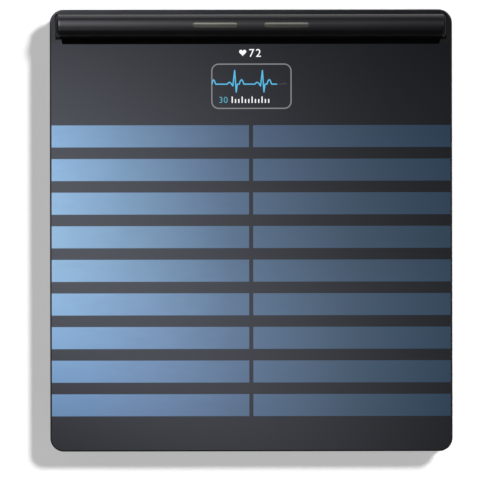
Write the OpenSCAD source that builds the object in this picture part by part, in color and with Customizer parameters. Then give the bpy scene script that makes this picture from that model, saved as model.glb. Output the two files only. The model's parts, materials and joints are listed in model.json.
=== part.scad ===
/* [Platform] */
// Width of the whole top, side to side
platform_w = 325; // [300:1:390]
// Depth of the whole top, front to back
platform_d = 357; // [345:1:430]
// Radius of the four outer corners in plan
corner_r = 11; // [10:0.5:20]
// Thickness of the tempered glass plate
glass_t = 4; // [3:0.5:6]
// Height of the glass top above the floor
glass_top = 27; // [26.5:0.5:34]
// Ground bevel along the top edge of the platform
edge_bevel = 0.8; // [0.4:0.1:1.2]
// Hairline gap between the glass and the rear dock
seam_gap = 0.15; // [0.1:0.05:0.4]

/* [Foot electrodes] */
// Number of electrode rows, front to back
row_count = 9; // [6:1:9]
// Depth of one electrode stripe
row_h = 17.8; // [12:0.1:18]
// Bare glass between two rows
row_gap = 9.35; // [6:0.05:10]
// Bare glass between the left and right stripes
row_split = 3.3; // [2:0.1:8]
// Bare glass between a stripe and the side edge
row_side = 1.4; // [1:0.1:6]
// Distance from the back edge of the platform to the first row
row_start = 93.45; // [92:0.05:98]
// Thickness of the conductive coating
film_t = 0.1; // [0.05:0.01:0.2]

/* [Handle] */
// Diameter of the round handle bar
bar_d = 20.3; // [16.9:0.1:21.2]
// Distance from each side edge of the platform to the end of the bar
bar_side = 5.1; // [5:0.1:12]
// Distance from the back edge of the platform to the back of the bar
bar_back = 3.7; // [3.5:0.1:6]
// Height of the bar's centre above the glass top
bar_rise = 2.5; // [2:0.1:4]
// Wall of the two handle shells
bar_wall = 2.2; // [1.8:0.1:2.4]
// Rounding of the bar's end edges
bar_end_r = 3; // [1:0.5:3]
// Free space around the docked bar
dock_gap = 0.4; // [0.3:0.05:0.6]
// Opening in front of the docked bar
front_gap = 3.8; // [3:0.1:3.9]
// Length of one thumb electrode
thumb_l = 36; // [24:1:44]
// Width of one thumb electrode
thumb_w = 3.9; // [3:0.1:6]
// Distance from the middle of the bar to the inner end of a thumb electrode
thumb_start = 10.8; // [8:0.1:12]
// Offset of the thumb electrodes towards the back
thumb_back = 1.1; // [0:0.1:1.5]
// Length of one finger electrode under the bar
finger_l = 50; // [36:1:54]
// Width of one finger electrode
finger_w = 5; // [4:0.1:7]

/* [Display] */
// Width of the display panel
panel_w = 84.6; // [70:0.1:88]
// Depth of the display panel, front to back
panel_d = 54; // [45:0.1:54]
// Thickness of the display panel with its backlight
panel_t = 2.8; // [2:0.1:3]

/* [Base shell] */
// Gap between the floor and the underside of the base
floor_gap = 5; // [4.6:0.1:7]
// Thickness of the base floor
floor_t = 2; // [1.5:0.1:2.2]
// Thickness of the base walls
wall_t = 2.2; // [1.6:0.1:2.4]
// How far the base walls stand in from the platform edge
wall_inset = 2; // [1.5:0.1:4]
// Thickness of the steel plate under the glass
plate_t = 1.5; // [1.2:0.1:1.6]
// Thickness of the bonding gasket under the glass
bond_t = 0.4; // [0.2:0.05:0.6]

/* [Feet and load cells] */
// Diameter of a rubber foot pad
pad_d = 34; // [26:1:40]
// Thickness of a rubber foot pad
pad_t = 2.6; // [2.2:0.1:3]
// Distance from the side edge to the middle of a foot
foot_side = 34.5; // [30:0.5:44]
// Distance from the front edge to the middle of a front foot
foot_front = 34; // [30:0.5:60]
// Distance from the back edge to the middle of a back foot
foot_back = 58; // [56:0.5:62]
// Length of a load cell bar
cell_l = 60; // [58:1:66]
// Width of a load cell bar
cell_w = 14; // [12:0.5:18]
// Height of a load cell bar
cell_h = 9; // [8:0.5:9]

/* [Cord reel] */
// Diameter of the handle cord
cord_d = 2.2; // [1.8:0.1:2.3]
// Turns in the outer layer of the winding
wind_turns = 2.25; // [1.25:1:2.25]
// Rise of the winding for each turn
wind_pitch = 2.65; // [2.65:0.05:2.7]
// Radius from the reel's middle to the middle of the outer layer
wind_r = 29.5; // [28:0.5:31]
// Distance from the back edge of the platform to the reel's middle
reel_back = 138.5; // [136:0.5:142]

/* [Setup button] */
// Length of the button cap along the side wall
button_l = 9; // [7:0.5:12]
// Height of the button cap
button_h = 3.6; // [3:0.1:4.4]
// How far the button cap stands out of the side wall
button_proud = 0.6; // [0.55:0.05:1]

/* [Hidden] */
$fn = 64;
eps = 0.01;
far = 500;

// Levels of the stack, from the glass down to the floor
glass_z = glass_top - glass_t;
plate_top = glass_z - bond_t;
plate_z = plate_top - plate_t;
bar_z = glass_top + bar_rise;
bar_r = bar_d / 2;
trough_r = bar_r + dock_gap;
dock_floor_t = 1.75;
dock_z = bar_z - trough_r - dock_floor_t;
floor_z = floor_gap + floor_t;

// Places along the depth, with the middle of the platform at zero
back_y = platform_d / 2;
side_x = platform_w / 2;
bar_y = back_y - bar_back - bar_r;
bar_half = side_x - bar_side;
trough_half = bar_half + 0.5;
trough_front = bar_y - bar_r - front_gap;
trough_wall = 1.6;
dock_front = trough_front - trough_wall;
glass_back = trough_front - seam_gap;
plate_inset = wall_inset + wall_t + 0.4;
plate_back = dock_front - 0.5;

// Ends of the opening in front of the bar: slanted, wider at the bar
gap_half = bar_half - 5.4;
gap_slant = 2;
gap_depth = 3.8;

// Rows of foot electrodes
row_pitch = row_h + row_gap;
row_y = back_y - row_start;
row_w = side_x - row_side - row_split / 2;

// Display under the glass
panel_back = plate_back - 1;
panel_y = panel_back - panel_d / 2;
panel_z = glass_z - panel_t;
frame_wall = 1;
frame_gap = 0.2;
frame_half = panel_w / 2 + frame_gap + frame_wall;
ear_t = 1.5;
ear_z = plate_z - ear_t;
ear_r = 4;
ear_out = 2.8;
display_ears = [
    for (sx = [-1, 1], sy = [-1, 1])
        [sx * (frame_half + ear_out), panel_y + sy * panel_d * 0.36]
];

cable_x = 34;
cable_w = 14;

// Feet and load cells, one at each corner
foot_x = side_x - foot_side;
foot_ys = [-back_y + foot_front, back_y - foot_back];
cup_d = pad_d + 4;
cup_z = 1.6;
cup_top = 4.4;
stem_r = 6;
cell_top = plate_z - ear_t;
cell_z = cell_top - cell_h;
cell_end = cell_l - 7;
cell_holes = [cell_l - 22, cell_l - 13];
cell_screw_r = 2;
foot_screw_r = 2;

// Screws that hold the base shell, to the plate and to the dock
cover_r = 1.5;
cover_len = 9;
cover_head_r = 2.8;
cover_head_h = 2;
post_r = 4.2;
post_x = side_x - 14.5;
plate_posts = [
    [-post_x, -back_y + 14.5], [post_x, -back_y + 14.5], [0, -back_y + 14.5],
    [-post_x, -60], [post_x, -60], [-post_x, 36], [post_x, 36],
    [-100, foot_ys[1] - 28.5], [100, foot_ys[1] - 28.5]
];
dock_posts = [for (x = [-post_x, -60, 60, post_x]) [x, trough_front + 2.5]];
screw_gap = 0.06;
fit_gap = 0.2;

// Small screws that hold the inner parts to the plate
small_r = 1.1;
small_len = 2.8;
small_head_r = 2.1;
small_head_h = 1.3;

// Electronics
board_t = 1.6;
board_top = plate_z - 6.5;
board_z = board_top - board_t;
board_w = 96;
board_d = 58;
board_x = 62;
board_y = 9;
board_edge = 4;
board_holes = [
    for (sx = [-1, 1], sy = [-1, 1])
        [board_x + sx * (board_w / 2 - board_edge), board_y + sy * (board_d / 2 - board_edge)]
];
socket_h = 3.2;
socket_z = board_top + socket_h / 2;
battery_w = 92;
battery_d = 54;
battery_h = 7.2;
battery_x = -64;
battery_y = -70;
foam_t = 0.8;
battery_top = plate_z - foam_t;
battery_z = battery_top - battery_h;
tray_t = 1.2;
tray_wall = 1.2;
tray_half = battery_w / 2 + fit_gap + tray_wall;
battery_ears = [
    for (sx = [-1, 1], sy = [-1, 1])
        [battery_x + sx * (tray_half + ear_out), battery_y + sy * 20]
];
port_x = side_x - 24.5;
port_y = 58;
port_l = 38;
port_holes = [for (y = [board_edge, port_l - board_edge]) [port_x + board_edge, port_y + y]];
usb_y = port_y + 12;
usb_w = 9;
usb_h = 3.2;
usb_l = 7.7;
outer_x = side_x - wall_inset;
inner_x = outer_x - wall_t;
button_y = port_y + 28;
button_z = board_top + 2;
button_travel = 0.5;
flange_t = 1.2;

// Cord reel, flat under the plate, with the cord leaving along the middle line
reel_x = -wind_r;
reel_y = back_y - reel_back;
housing_z = plate_z - 13.5;
housing_t = 1.2;
drum_z = housing_z + housing_t + 0.3;
drum_top = ear_z - 0.3;
flange_h = 0.8;
wind_gap = 0.2;
core_r = wind_r - 3.5;
drum_flange_r = wind_r + cord_d / 2 + 1.4;
housing_in = drum_flange_r + 0.6;
cover_disc_r = housing_in + 2;
housing_r = cover_disc_r + 1.8;
reel_ear_r = housing_r + ear_out;
reel_ears = [for (a = [45:90:315]) [reel_x + reel_ear_r * cos(a), reel_y + reel_ear_r * sin(a)]];
axle_r = 3;
web_z = drum_z + 2.1;
web_t = 1.2;
wind_z = drum_z + flange_h + wind_gap + cord_d / 2;
wind_steps = 24;

// Guide pulley under the dock, which turns the cord up into the handle
bend_r = 4.1;
pulley_y = bar_y - bend_r;
pulley_z = dock_z - 4.8;
pulley_r = 4.4;
pulley_half = 1.8;
groove_r = bend_r - cord_d / 2 - 0.1;
pin_r = 1;
cheek_t = 1.8;
cheek_gap = 0.3;
stake_x = 7.5;
stake_r = 1.5;

// Inside of the handle bar
bar_in = bar_r - bar_wall;
hboard_t = 1;
hboard_z = bar_z - 1.5;
hboard_half = 57;
hboard_w = 2 * bar_in - 2.7;
handle_screw_x = [-145, -72, 72, 145];
hscrew_r = 1.1;
hscrew_head_r = 2.1;
hscrew_head_h = 1.5;
hscrew_seat = bar_z - bar_r + 3.05;
hscrew_tip = bar_z + bar_r - 5.15;
thumb_x = thumb_start + thumb_l / 2;
finger_x = 38;
leg_off = 12;
leg_r = 0.8;
anchor_z = bar_z - bar_r + 3.65;
cord_end = hboard_z - 2;

// Plan outline of the platform, drawn in from the edge by inset
module outline(inset = 0) {
    r = corner_r - inset > 1 ? corner_r - inset : 1;
    w = platform_w - 2 * inset;
    d = platform_d - 2 * inset;
    square([w - 2 * r, d], center = true);
    square([w, d - 2 * r], center = true);
    for (sx = [-1, 1], sy = [-1, 1]) {
        translate([sx * (w / 2 - r), sy * (d / 2 - r)]) circle(r, $fn = 48);
    }
}

module slab(inset, z, h) {
    translate([0, 0, z]) linear_extrude(h) outline(inset);
}

// Everything in front of, or behind, a line across the platform
module front_of(y) {
    translate([-far, y - 2 * far, -far]) cube([2 * far, 2 * far, 2 * far]);
}

module behind(y) {
    translate([-far, y, -far]) cube([2 * far, 2 * far, 2 * far]);
}

// Block with the plan outline and a bevelled top edge
module bevelled_block(z) {
    hull() {
        slab(0, z, glass_top - edge_bevel - z);
        slab(edge_bevel, glass_top - eps, eps);
    }
}

// Flat-sided box with rounded upright corners
module round_box(size, r) {
    linear_extrude(size[2]) {
        square([size[0] - 2 * r, size[1]], center = true);
        square([size[0], size[1] - 2 * r], center = true);
        for (sx = [-1, 1], sy = [-1, 1]) {
            translate([sx * (size[0] / 2 - r), sy * (size[1] / 2 - r)]) circle(r);
        }
    }
}

// Bar with half-round ends in plan, l long and w wide
module pill(l, w, h) {
    linear_extrude(h) {
        square([l - w, w], center = true);
        for (s = [-1, 1]) {
            translate([s * (l - w) / 2, 0]) circle(w / 2);
        }
    }
}

// Upright bolt: head below the seat, shank above it, with a six-sided driver recess
module bolt(r, length, head_r, head_h) {
    difference() {
        union() {
            translate([0, 0, -eps]) cylinder(r = r, h = length + eps);
            translate([0, 0, -head_h]) cylinder(r = head_r, h = head_h);
        }
        translate([0, 0, -head_h - eps]) cylinder(r = head_r * 0.5, h = head_h * 0.6, $fn = 6);
    }
}

function unit(v) = v / norm(v);
function tangent(p, i) = unit(p[min(i + 1, len(p) - 1)] - p[max(i - 1, 0)]);

// Round a route's inner corners, each with a short curve that starts reach before the corner
function corner(a, p, b, reach, n) = [
    for (i = [0:n])
        let (t = i / n, u = p + reach * unit(a - p), v = p + reach * unit(b - p))
        (1 - t) * (1 - t) * u + 2 * t * (1 - t) * p + t * t * v
];
function route(p, reach, n = 3) = concat(
    [p[0]],
    [for (i = [1:len(p) - 2]) each corner(p[i - 1], p[i], p[i + 1], reach, n)],
    [p[len(p) - 1]]
);

// Closed tube swept along the points p, with its rings square to the route;
// ups holds a direction for each ring that isn't along the route
module tube(p, r, ups = [], sides = 8) {
    rings = [
        for (i = [0:len(p) - 1])
            let (up = len(ups) > 0 ? ups[i] : [0, 0, 1], t = tangent(p, i))
            let (a = unit(cross(up, t)), b = cross(t, a))
            for (k = [0:sides - 1])
                p[i] + r * (cos(360 * k / sides) * a + sin(360 * k / sides) * b)
    ];
    last = len(p) - 1;
    walls = [
        for (i = [0:last - 1], k = [0:sides - 1])
            let (m = (k + 1) % sides, lo = i * sides, hi = lo + sides)
            each [[lo + k, hi + k, lo + m], [lo + m, hi + k, hi + m]]
    ];
    start_cap = [for (k = [0:sides - 1]) k];
    end_cap = [for (k = [sides - 1:-1:0]) last * sides + k];
    polyhedron(rings, concat(walls, [start_cap, end_cap]), convexity = 6);
}

module glass_platform() {
    color([0.05, 0.05, 0.06]) intersection() {
        bevelled_block(glass_z);
        front_of(glass_back);
    }
}

// One column of electrode stripes; side is -1 for left and 1 for right
module foot_electrodes(side) {
    color([0.33, 0.47, 0.64]) for (i = [0:row_count - 1]) {
        x = side < 0 ? -side_x + row_side : row_split / 2;
        translate([x, row_y - i * row_pitch - row_h, glass_top]) cube([row_w, row_h, film_t]);
    }
}

// Hollow in the dock that the handle bar lies in, with the opening in front of it
module trough() {
    translate([-trough_half, bar_y, bar_z]) rotate([0, 90, 0]) {
        cylinder(r = trough_r, h = 2 * trough_half, $fn = 128);
    }
    intersection() {
        translate([0, 0, dock_z]) linear_extrude(far) polygon([
            [-gap_half + gap_slant, trough_front], [gap_half - gap_slant, trough_front],
            [gap_half, bar_y - bar_r], [gap_half, bar_y], [-gap_half, bar_y], [-gap_half, bar_y - bar_r]
        ]);
        translate([-far, 0, 0]) rotate([90, 0, 90]) linear_extrude(2 * far) polygon([
            [trough_front - 1, bar_z], [trough_front - 1, glass_top - gap_depth],
            [bar_y - 0.53 * trough_r, bar_z - 0.77 * trough_r], [bar_y, bar_z]
        ]);
    }
}

module rear_dock() {
    color([0.07, 0.07, 0.08]) difference() {
        union() {
            intersection() {
                bevelled_block(plate_top - eps);
                behind(trough_front);
            }
            intersection() {
                slab(wall_inset, dock_z, plate_top - dock_z);
                behind(dock_front);
            }
            for (sx = [-1, 1]) {
                translate([sx * stake_x, pulley_y, dock_z - 2.2]) cylinder(r = stake_r, h = 2.3);
                translate([sx * stake_x, pulley_y, dock_z - 2.2]) cylinder(r = 2.5, h = 0.6);
            }
        }
        trough();
        translate([0, bar_y, dock_z - 1]) cylinder(r = 2.55, h = 6);
        translate([0, bar_y, dock_z + 0.9]) cylinder(r = 3.25, h = 6);
        for (p = dock_posts) {
            translate([p[0], p[1], dock_z - 1]) cylinder(r = cover_r + screw_gap, h = 5);
        }
    }
}

module bottom_cover() {
    wall_z = floor_gap + 4;
    color([0.1, 0.1, 0.11]) difference() {
        union() {
            difference() {
                union() {
                    hull() {
                        slab(wall_inset + 6, floor_gap, eps);
                        slab(wall_inset, wall_z, eps);
                    }
                    slab(wall_inset, wall_z, plate_top - wall_z);
                }
                hull() {
                    slab(wall_inset + 7, floor_z, eps);
                    slab(wall_inset + wall_t, wall_z + 1, eps);
                }
                slab(wall_inset + wall_t, wall_z + 1, far);
                intersection() {
                    slab(-1, dock_z, far);
                    behind(dock_front - 0.1);
                }
            }
            for (p = plate_posts) {
                translate([p[0], p[1], floor_gap + 0.5])
                    cylinder(r = post_r, h = plate_z - floor_gap - 0.5);
            }
            for (p = dock_posts) {
                translate([p[0], p[1], floor_gap + 0.5])
                    cylinder(r = post_r, h = dock_z - floor_gap - 0.5);
            }
            for (sx = [-1, 1], y = foot_ys) {
                translate([sx * foot_x, y, floor_gap + 0.5]) cylinder(r = stem_r + 3, h = floor_t + 0.5);
            }
        }
        for (p = plate_posts) {
            cover_hole(p, plate_top - 0.2);
        }
        for (p = dock_posts) {
            cover_hole(p, dock_z + 3.8);
        }
        for (sx = [-1, 1], y = foot_ys) {
            translate([sx * foot_x, y, 0]) cylinder(r = stem_r + 1, h = floor_z + 2);
        }
        translate([0, -20, floor_gap - 1]) round_box([90, 46, 1.4], 4);
        translate([inner_x - 1, usb_y, board_top + usb_h / 2]) rotate([90, 0, 90]) {
            pill(usb_w + 2 * fit_gap, usb_h + 2 * fit_gap, wall_t + 2);
        }
        translate([inner_x - 1, button_y, button_z]) rotate([90, 0, 90]) {
            pill(button_l + 2 * fit_gap, button_h + 2 * fit_gap, wall_t + 2);
        }
    }
}

// Stepped screw hole in the base shell; tip is the height that the screw reaches
module cover_hole(p, tip) {
    seat = tip - cover_len;
    translate([p[0], p[1], 0]) {
        cylinder(r = cover_r + 0.2, h = tip + 2);
        cylinder(r = cover_head_r + 0.3, h = seat);
    }
}

module chassis_plate() {
    color([0.55, 0.56, 0.58]) difference() {
        union() {
            intersection() {
                slab(plate_inset, plate_z, plate_t);
                front_of(plate_back);
            }
            for (sx = [-1, 1], y = foot_ys) {
                translate([sx * (foot_x - cell_l + 17.5), y, cell_top]) {
                    translate([-10.5, -cell_w / 2, 0]) cube([21, cell_w, ear_t + eps]);
                }
            }
            for (p = concat(board_holes, port_holes)) {
                translate([p[0], p[1], board_top]) cylinder(r = 2.5, h = plate_z - board_top + eps);
            }
        }
        translate([-panel_w / 2 - 0.4, panel_back - panel_d - 0.6, 0]) cube([panel_w + 0.8, far, far]);
        for (p = plate_posts) {
            translate([p[0], p[1], plate_z - 1]) cylinder(r = cover_r + screw_gap, h = far);
        }
        for (p = concat(display_ears, battery_ears, reel_ears)) {
            translate([p[0], p[1], plate_z - 1]) cylinder(r = small_r + screw_gap, h = far);
        }
        for (p = concat(board_holes, port_holes)) {
            translate([p[0], p[1], board_top - 1]) cylinder(r = small_r + screw_gap, h = 5);
        }
        for (sx = [-1, 1], y = foot_ys, h = cell_holes) {
            translate([sx * (foot_x - h), y, cell_top - 1]) cylinder(r = cell_screw_r + screw_gap, h = far);
        }
    }
}

// Gasket that bonds the glass to the plate, the base walls and the dock
module bond_gasket() {
    color([0.2, 0.2, 0.21]) translate([0, 0, plate_top]) linear_extrude(bond_t) difference() {
        intersection() {
            outline(wall_inset + 0.4);
            translate([-far, -far]) square([2 * far, far + trough_front - 0.3]);
        }
        intersection() {
            outline(plate_inset + 9);
            translate([-far, -far]) square([2 * far, far + plate_back - 10]);
        }
        translate([-panel_w / 2 - 0.4, panel_back - panel_d - 0.6]) square([panel_w + 0.8, panel_d + 1.4]);
    }
}

module display_panel() {
    color([0.12, 0.13, 0.16]) translate([0, panel_y, panel_z]) {
        round_box([panel_w, panel_d, panel_t], 0.8);
    }
}

module display_frame() {
    depth = plate_z - panel_z + frame_wall;
    inner = [panel_w + 2 * frame_gap, panel_d + 2 * frame_gap, depth];
    outer = [2 * frame_half, inner[1] + 2 * frame_wall, depth];
    color([0.75, 0.76, 0.78]) {
        difference() {
            union() {
                translate([0, panel_y, panel_z - frame_wall]) round_box(outer, 1.5);
                for (p = display_ears) {
                    translate([p[0], p[1], ear_z]) cylinder(r = ear_r, h = ear_t);
                }
            }
            translate([0, panel_y, panel_z]) round_box(inner, 0.6);
            for (p = display_ears) {
                translate([p[0], p[1], ear_z - 1]) cylinder(r = small_r + screw_gap, h = far);
            }
            translate([cable_x - cable_w / 2 - 1, panel_back - panel_d + 3, panel_z - frame_wall - 1]) {
                cube([cable_w + 2, 3.4, 3]);
            }
        }
    }
}

// Flat cable from the display down to the main board, drawn as its side view
module display_cable() {
    y0 = panel_back - panel_d + 4.7;
    y1 = board_y + board_d / 2 - 0.2;
    z1 = board_top + 1.9;
    line = [
        [y0, panel_z], [y0, panel_z - 2.4], [y0 - 0.8, panel_z - 3.2], [y0 - 2, panel_z - 3.6],
        [(y0 + y1) / 2, z1 + 0.6], [y1 + 8, z1], [y1, z1]
    ];
    t = 0.15;
    color([0.72, 0.5, 0.2]) translate([cable_x - cable_w / 2, 0, 0]) rotate([90, 0, 90]) {
        linear_extrude(cable_w) polygon(concat(
            [for (i = [0:len(line) - 1]) line[i] + t * side_of(line, i)],
            [for (i = [len(line) - 1:-1:0]) line[i] - t * side_of(line, i)]
        ));
    }
}

function side_of(p, i) = let (t = tangent(p, i)) [-t[1], t[0]];

module main_board() {
    color([0.05, 0.28, 0.16]) difference() {
        translate([board_x, board_y, board_z]) round_box([board_w, board_d, board_t], 2);
        for (p = board_holes) {
            translate([p[0], p[1], board_z - 1]) cylinder(r = small_r + 0.2, h = board_t + 2);
        }
    }
}

// Chips, shield can and cable sockets on the main board
module board_parts() {
    translate([board_x, board_y, board_top]) {
        color([0.12, 0.12, 0.13]) {
            translate([-12, 2, 0]) round_box([11, 11, 1.1], 0.4);
            translate([6, 10, 0]) round_box([8, 6, 0.9], 0.3);
            translate([8, -8, 0]) round_box([5, 5, 0.9], 0.3);
            translate([22, -12, 0]) round_box([6, 6, 1], 0.3);
        }
        color([0.75, 0.76, 0.78]) translate([27, 8, 0]) round_box([20, 15, 2.2], 0.6);
        color([0.9, 0.88, 0.82]) {
            for (x = [-34, -18]) {
                translate([x, -board_d / 2 + 2.5, 0]) round_box([6, 5, socket_h], 0.3);
            }
            for (x = [-4, 14]) {
                translate([x, board_d / 2 - 2.5, 0]) round_box([6, 5, socket_h], 0.3);
            }
            for (y = [-17, 5]) {
                translate([-board_w / 2 + 2.5, y, 0]) round_box([5, 6, socket_h], 0.3);
            }
            translate([board_w / 2 - 2.5, 11, 0]) round_box([5, 6, socket_h], 0.3);
            translate([cable_x - board_x, board_d / 2 - 3, 0]) round_box([cable_w + 2, 5, 1.6], 0.3);
        }
    }
}

module battery_pack() {
    color([0.16, 0.35, 0.6]) translate([battery_x, battery_y, battery_z]) {
        round_box([battery_w, battery_d, battery_h], 2.5);
    }
}

module battery_foam() {
    color([0.25, 0.25, 0.26]) translate([battery_x, battery_y, battery_top]) {
        round_box([battery_w - 10, battery_d - 10, foam_t], 2);
    }
}

module battery_tray() {
    height = plate_z - battery_z + tray_t;
    color([0.16, 0.16, 0.17]) difference() {
        union() {
            translate([battery_x, battery_y, battery_z - tray_t]) {
                round_box([2 * tray_half, battery_d + 2 * (fit_gap + tray_wall), height], 3);
            }
            for (p = battery_ears) {
                translate([p[0], p[1], ear_z]) cylinder(r = ear_r, h = ear_t);
            }
        }
        translate([battery_x, battery_y, battery_z]) {
            round_box([battery_w + 2 * fit_gap, battery_d + 2 * fit_gap, far], 2.6);
        }
        for (p = battery_ears) {
            translate([p[0], p[1], ear_z - 1]) cylinder(r = small_r + screw_gap, h = far);
        }
        for (sx = [-1, 1]) {
            translate([battery_x + sx * 22, battery_y, battery_z - tray_t - 1]) round_box([34, 40, 4], 4);
        }
        translate([battery_x + battery_w / 2 - 1, battery_y - 3, battery_z + 1]) cube([4, 6, 4]);
    }
}

module port_board() {
    color([0.05, 0.28, 0.16]) difference() {
        translate([port_x, port_y, board_z]) cube([inner_x - 0.6 - port_x, port_l, board_t]);
        for (p = port_holes) {
            translate([p[0], p[1], board_z - 1]) cylinder(r = small_r + 0.2, h = board_t + 2);
        }
    }
}

module usb_socket() {
    color([0.7, 0.71, 0.73]) translate([outer_x - 0.3 - usb_l, usb_y, board_top + usb_h / 2]) {
        rotate([90, 0, 90]) difference() {
            pill(usb_w, usb_h, usb_l);
            translate([0, 0, 1]) pill(usb_w - 0.7, usb_h - 0.7, usb_l);
        }
        rotate([90, 0, 90]) linear_extrude(usb_l - 1.5) square([6.6, 0.7], center = true);
    }
}

module button_switch() {
    face = inner_x - 0.3 - flange_t - button_travel - 0.1;
    color([0.2, 0.2, 0.22]) {
        translate([face - 5, button_y - 3, board_top]) cube([4, 6, 3.4]);
        translate([face - 1 - eps, button_y, button_z]) rotate([0, 90, 0]) cylinder(r = 1.1, h = 1 + eps);
    }
}

// Cap that stands in the side wall, held in by a flange behind the wall
module setup_button() {
    root = inner_x - 0.3;
    step = outer_x + button_proud - 0.3;
    color([0.13, 0.13, 0.14]) translate([0, button_y, button_z]) rotate([90, 0, 90]) {
        translate([0, 0, root - flange_t]) pill(button_l + 2, button_h - 0.4, flange_t);
        translate([0, 0, root - eps]) pill(button_l, button_h, step - root + eps);
        translate([0, 0, step - eps]) pill(button_l - 0.6, button_h - 0.6, 0.3 + eps);
    }
}

// Bar with two linked round holes that bends under load; side is -1 for left and 1 for right
module load_cell(side, y) {
    neck = cell_l / 2 - 12;
    color([0.78, 0.79, 0.8]) translate([side * foot_x, y, cell_z]) difference() {
        translate([side > 0 ? -cell_end : cell_end - cell_l, -cell_w / 2, 0])
            cube([cell_l, cell_w, cell_h]);
        for (d = [0, 9]) {
            translate([-side * (neck + d - 4), 0, cell_h / 2]) rotate([90, 0, 0]) {
                cylinder(r = 3.1, h = cell_w + 2, center = true);
            }
        }
        translate([-side * (neck + 0.5) - 4.5, -cell_w, cell_h / 2 - 1]) cube([9, 2 * cell_w, 2]);
        translate([0, 0, -1]) cylinder(r = foot_screw_r + screw_gap, h = cell_h + 2);
        for (h = cell_holes) {
            translate([-side * h, 0, -1]) cylinder(r = cell_screw_r + screw_gap, h = cell_h + 2);
        }
    }
}

// Cup that holds the rubber pad, with the stem that reaches up to the load cell
module foot_cup(side, y) {
    color([0.12, 0.12, 0.13]) translate([side * foot_x, y, 0]) difference() {
        union() {
            translate([0, 0, cup_z]) cylinder(d = cup_d, h = cup_top - cup_z - 0.8);
            translate([0, 0, cup_top - 0.8 - eps]) cylinder(d1 = cup_d, d2 = cup_d - 1.6, h = 0.8 + eps);
            translate([0, 0, cup_z]) cylinder(r = stem_r, h = cell_z - cup_z);
        }
        translate([0, 0, cup_z - 1]) cylinder(d = pad_d + 0.2, h = pad_t - cup_z + 1);
        translate([0, 0, pad_t - eps]) cylinder(r = 4, h = 2.6 + eps);
        cylinder(r = foot_screw_r + screw_gap, h = cell_z + 1);
    }
}

// Rubber pad with a shallow ring groove in its sole
module foot_pad(side, y) {
    color([0.2, 0.2, 0.21]) translate([side * foot_x, y, 0]) difference() {
        union() {
            cylinder(d1 = pad_d - 1, d2 = pad_d, h = 0.5);
            translate([0, 0, 0.5 - eps]) cylinder(d = pad_d, h = pad_t - 0.5 + eps);
        }
        translate([0, 0, -eps]) difference() {
            cylinder(d = pad_d - 10, h = 0.6);
            translate([0, 0, -1]) cylinder(d = pad_d - 14, h = 3);
        }
    }
}

module cell_screws() {
    color([0.6, 0.61, 0.63]) for (sx = [-1, 1], y = foot_ys, h = cell_holes) {
        translate([sx * (foot_x - h), y, cell_z]) bolt(cell_screw_r, plate_top - 0.2 - cell_z, 3.5, 2.4);
    }
}

module foot_screws() {
    color([0.6, 0.61, 0.63]) for (sx = [-1, 1], y = foot_ys) {
        translate([sx * foot_x, y, pad_t + 2.6]) bolt(foot_screw_r, cell_top - 1 - pad_t - 2.6, 3.6, 2.2);
    }
}

module cover_bolt(p, tip) {
    translate([p[0], p[1], tip - cover_len]) bolt(cover_r, cover_len, cover_head_r, cover_head_h);
}

module cover_screws() {
    color([0.3, 0.3, 0.32]) {
        for (p = plate_posts) {
            cover_bolt(p, plate_top - 0.2);
        }
        for (p = dock_posts) {
            cover_bolt(p, dock_z + 3.8);
        }
    }
}

module inner_screws() {
    color([0.6, 0.61, 0.63]) {
        for (p = concat(display_ears, battery_ears, reel_ears)) {
            translate([p[0], p[1], ear_z]) bolt(small_r, small_len, small_head_r, small_head_h);
        }
        for (p = concat(board_holes, port_holes)) {
            translate([p[0], p[1], board_z]) bolt(small_r, small_len, small_head_r, small_head_h);
        }
    }
}

// Leads from the four load cells to their sockets on the main board
module sensor_leads() {
    z0 = cell_z + 4.5;
    x0 = foot_x - cell_end;
    front = foot_ys[0];
    back = foot_ys[1];
    low = board_y - board_d / 2;
    high = board_y + board_d / 2;
    past_reel = reel_y + 45;
    color([0.85, 0.85, 0.87]) {
        tube(route([
            [x0, front, z0], [56, front, z0], [44, -118, z0], [44, low - 16, z0],
            [44, low - 6, socket_z], [44, low, socket_z]
        ], 4), 0.9);
        tube(route([
            [-x0, front, z0], [-60, front, z0], [-40, -132, z0], [16, -132, z0], [28, -112, z0],
            [28, low - 16, z0], [28, low - 6, socket_z], [28, low, socket_z]
        ], 4), 0.9);
        tube(route([
            [x0, back, z0], [66, back, z0], [76, past_reel + 3, z0], [76, high + 16, z0],
            [76, high + 6, socket_z], [76, high, socket_z]
        ], 4), 0.9);
        tube(route([
            [-x0, back, z0], [-64, back, z0], [-58, past_reel, z0], [48, past_reel, z0],
            [58, past_reel - 13, z0], [58, high + 16, z0], [58, high + 6, socket_z], [58, high, socket_z]
        ], 4), 0.9);
    }
}

// Leads from the battery, the reel and the port board to the main board
module inner_leads() {
    left = board_x - board_w / 2;
    right = board_x + board_w / 2;
    pack_side = battery_x + battery_w / 2;
    pack_z = battery_z + 3;
    reel_out = [reel_x + housing_r * cos(-20), reel_y + housing_r * sin(-20), housing_z + 5];
    color([0.75, 0.2, 0.18]) tube(route([
        [pack_side, battery_y, pack_z], [-6, battery_y, pack_z], [4, -50, pack_z],
        [4, -8, socket_z], [left, -8, socket_z]
    ], 4), 0.9);
    color([0.3, 0.3, 0.32]) tube(route([
        reel_out, reel_out + [3, -1.1, 0], [left - 4, 14, socket_z], [left, 14, socket_z]
    ], 1.5), 0.8);
    color([0.3, 0.3, 0.32]) tube(route([
        [port_x, 77, board_z + 0.8], [128, 77, board_z + 0.8], [124, 40, socket_z],
        [124, 20, socket_z], [right, 20, socket_z]
    ], 3), 0.8);
}

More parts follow.
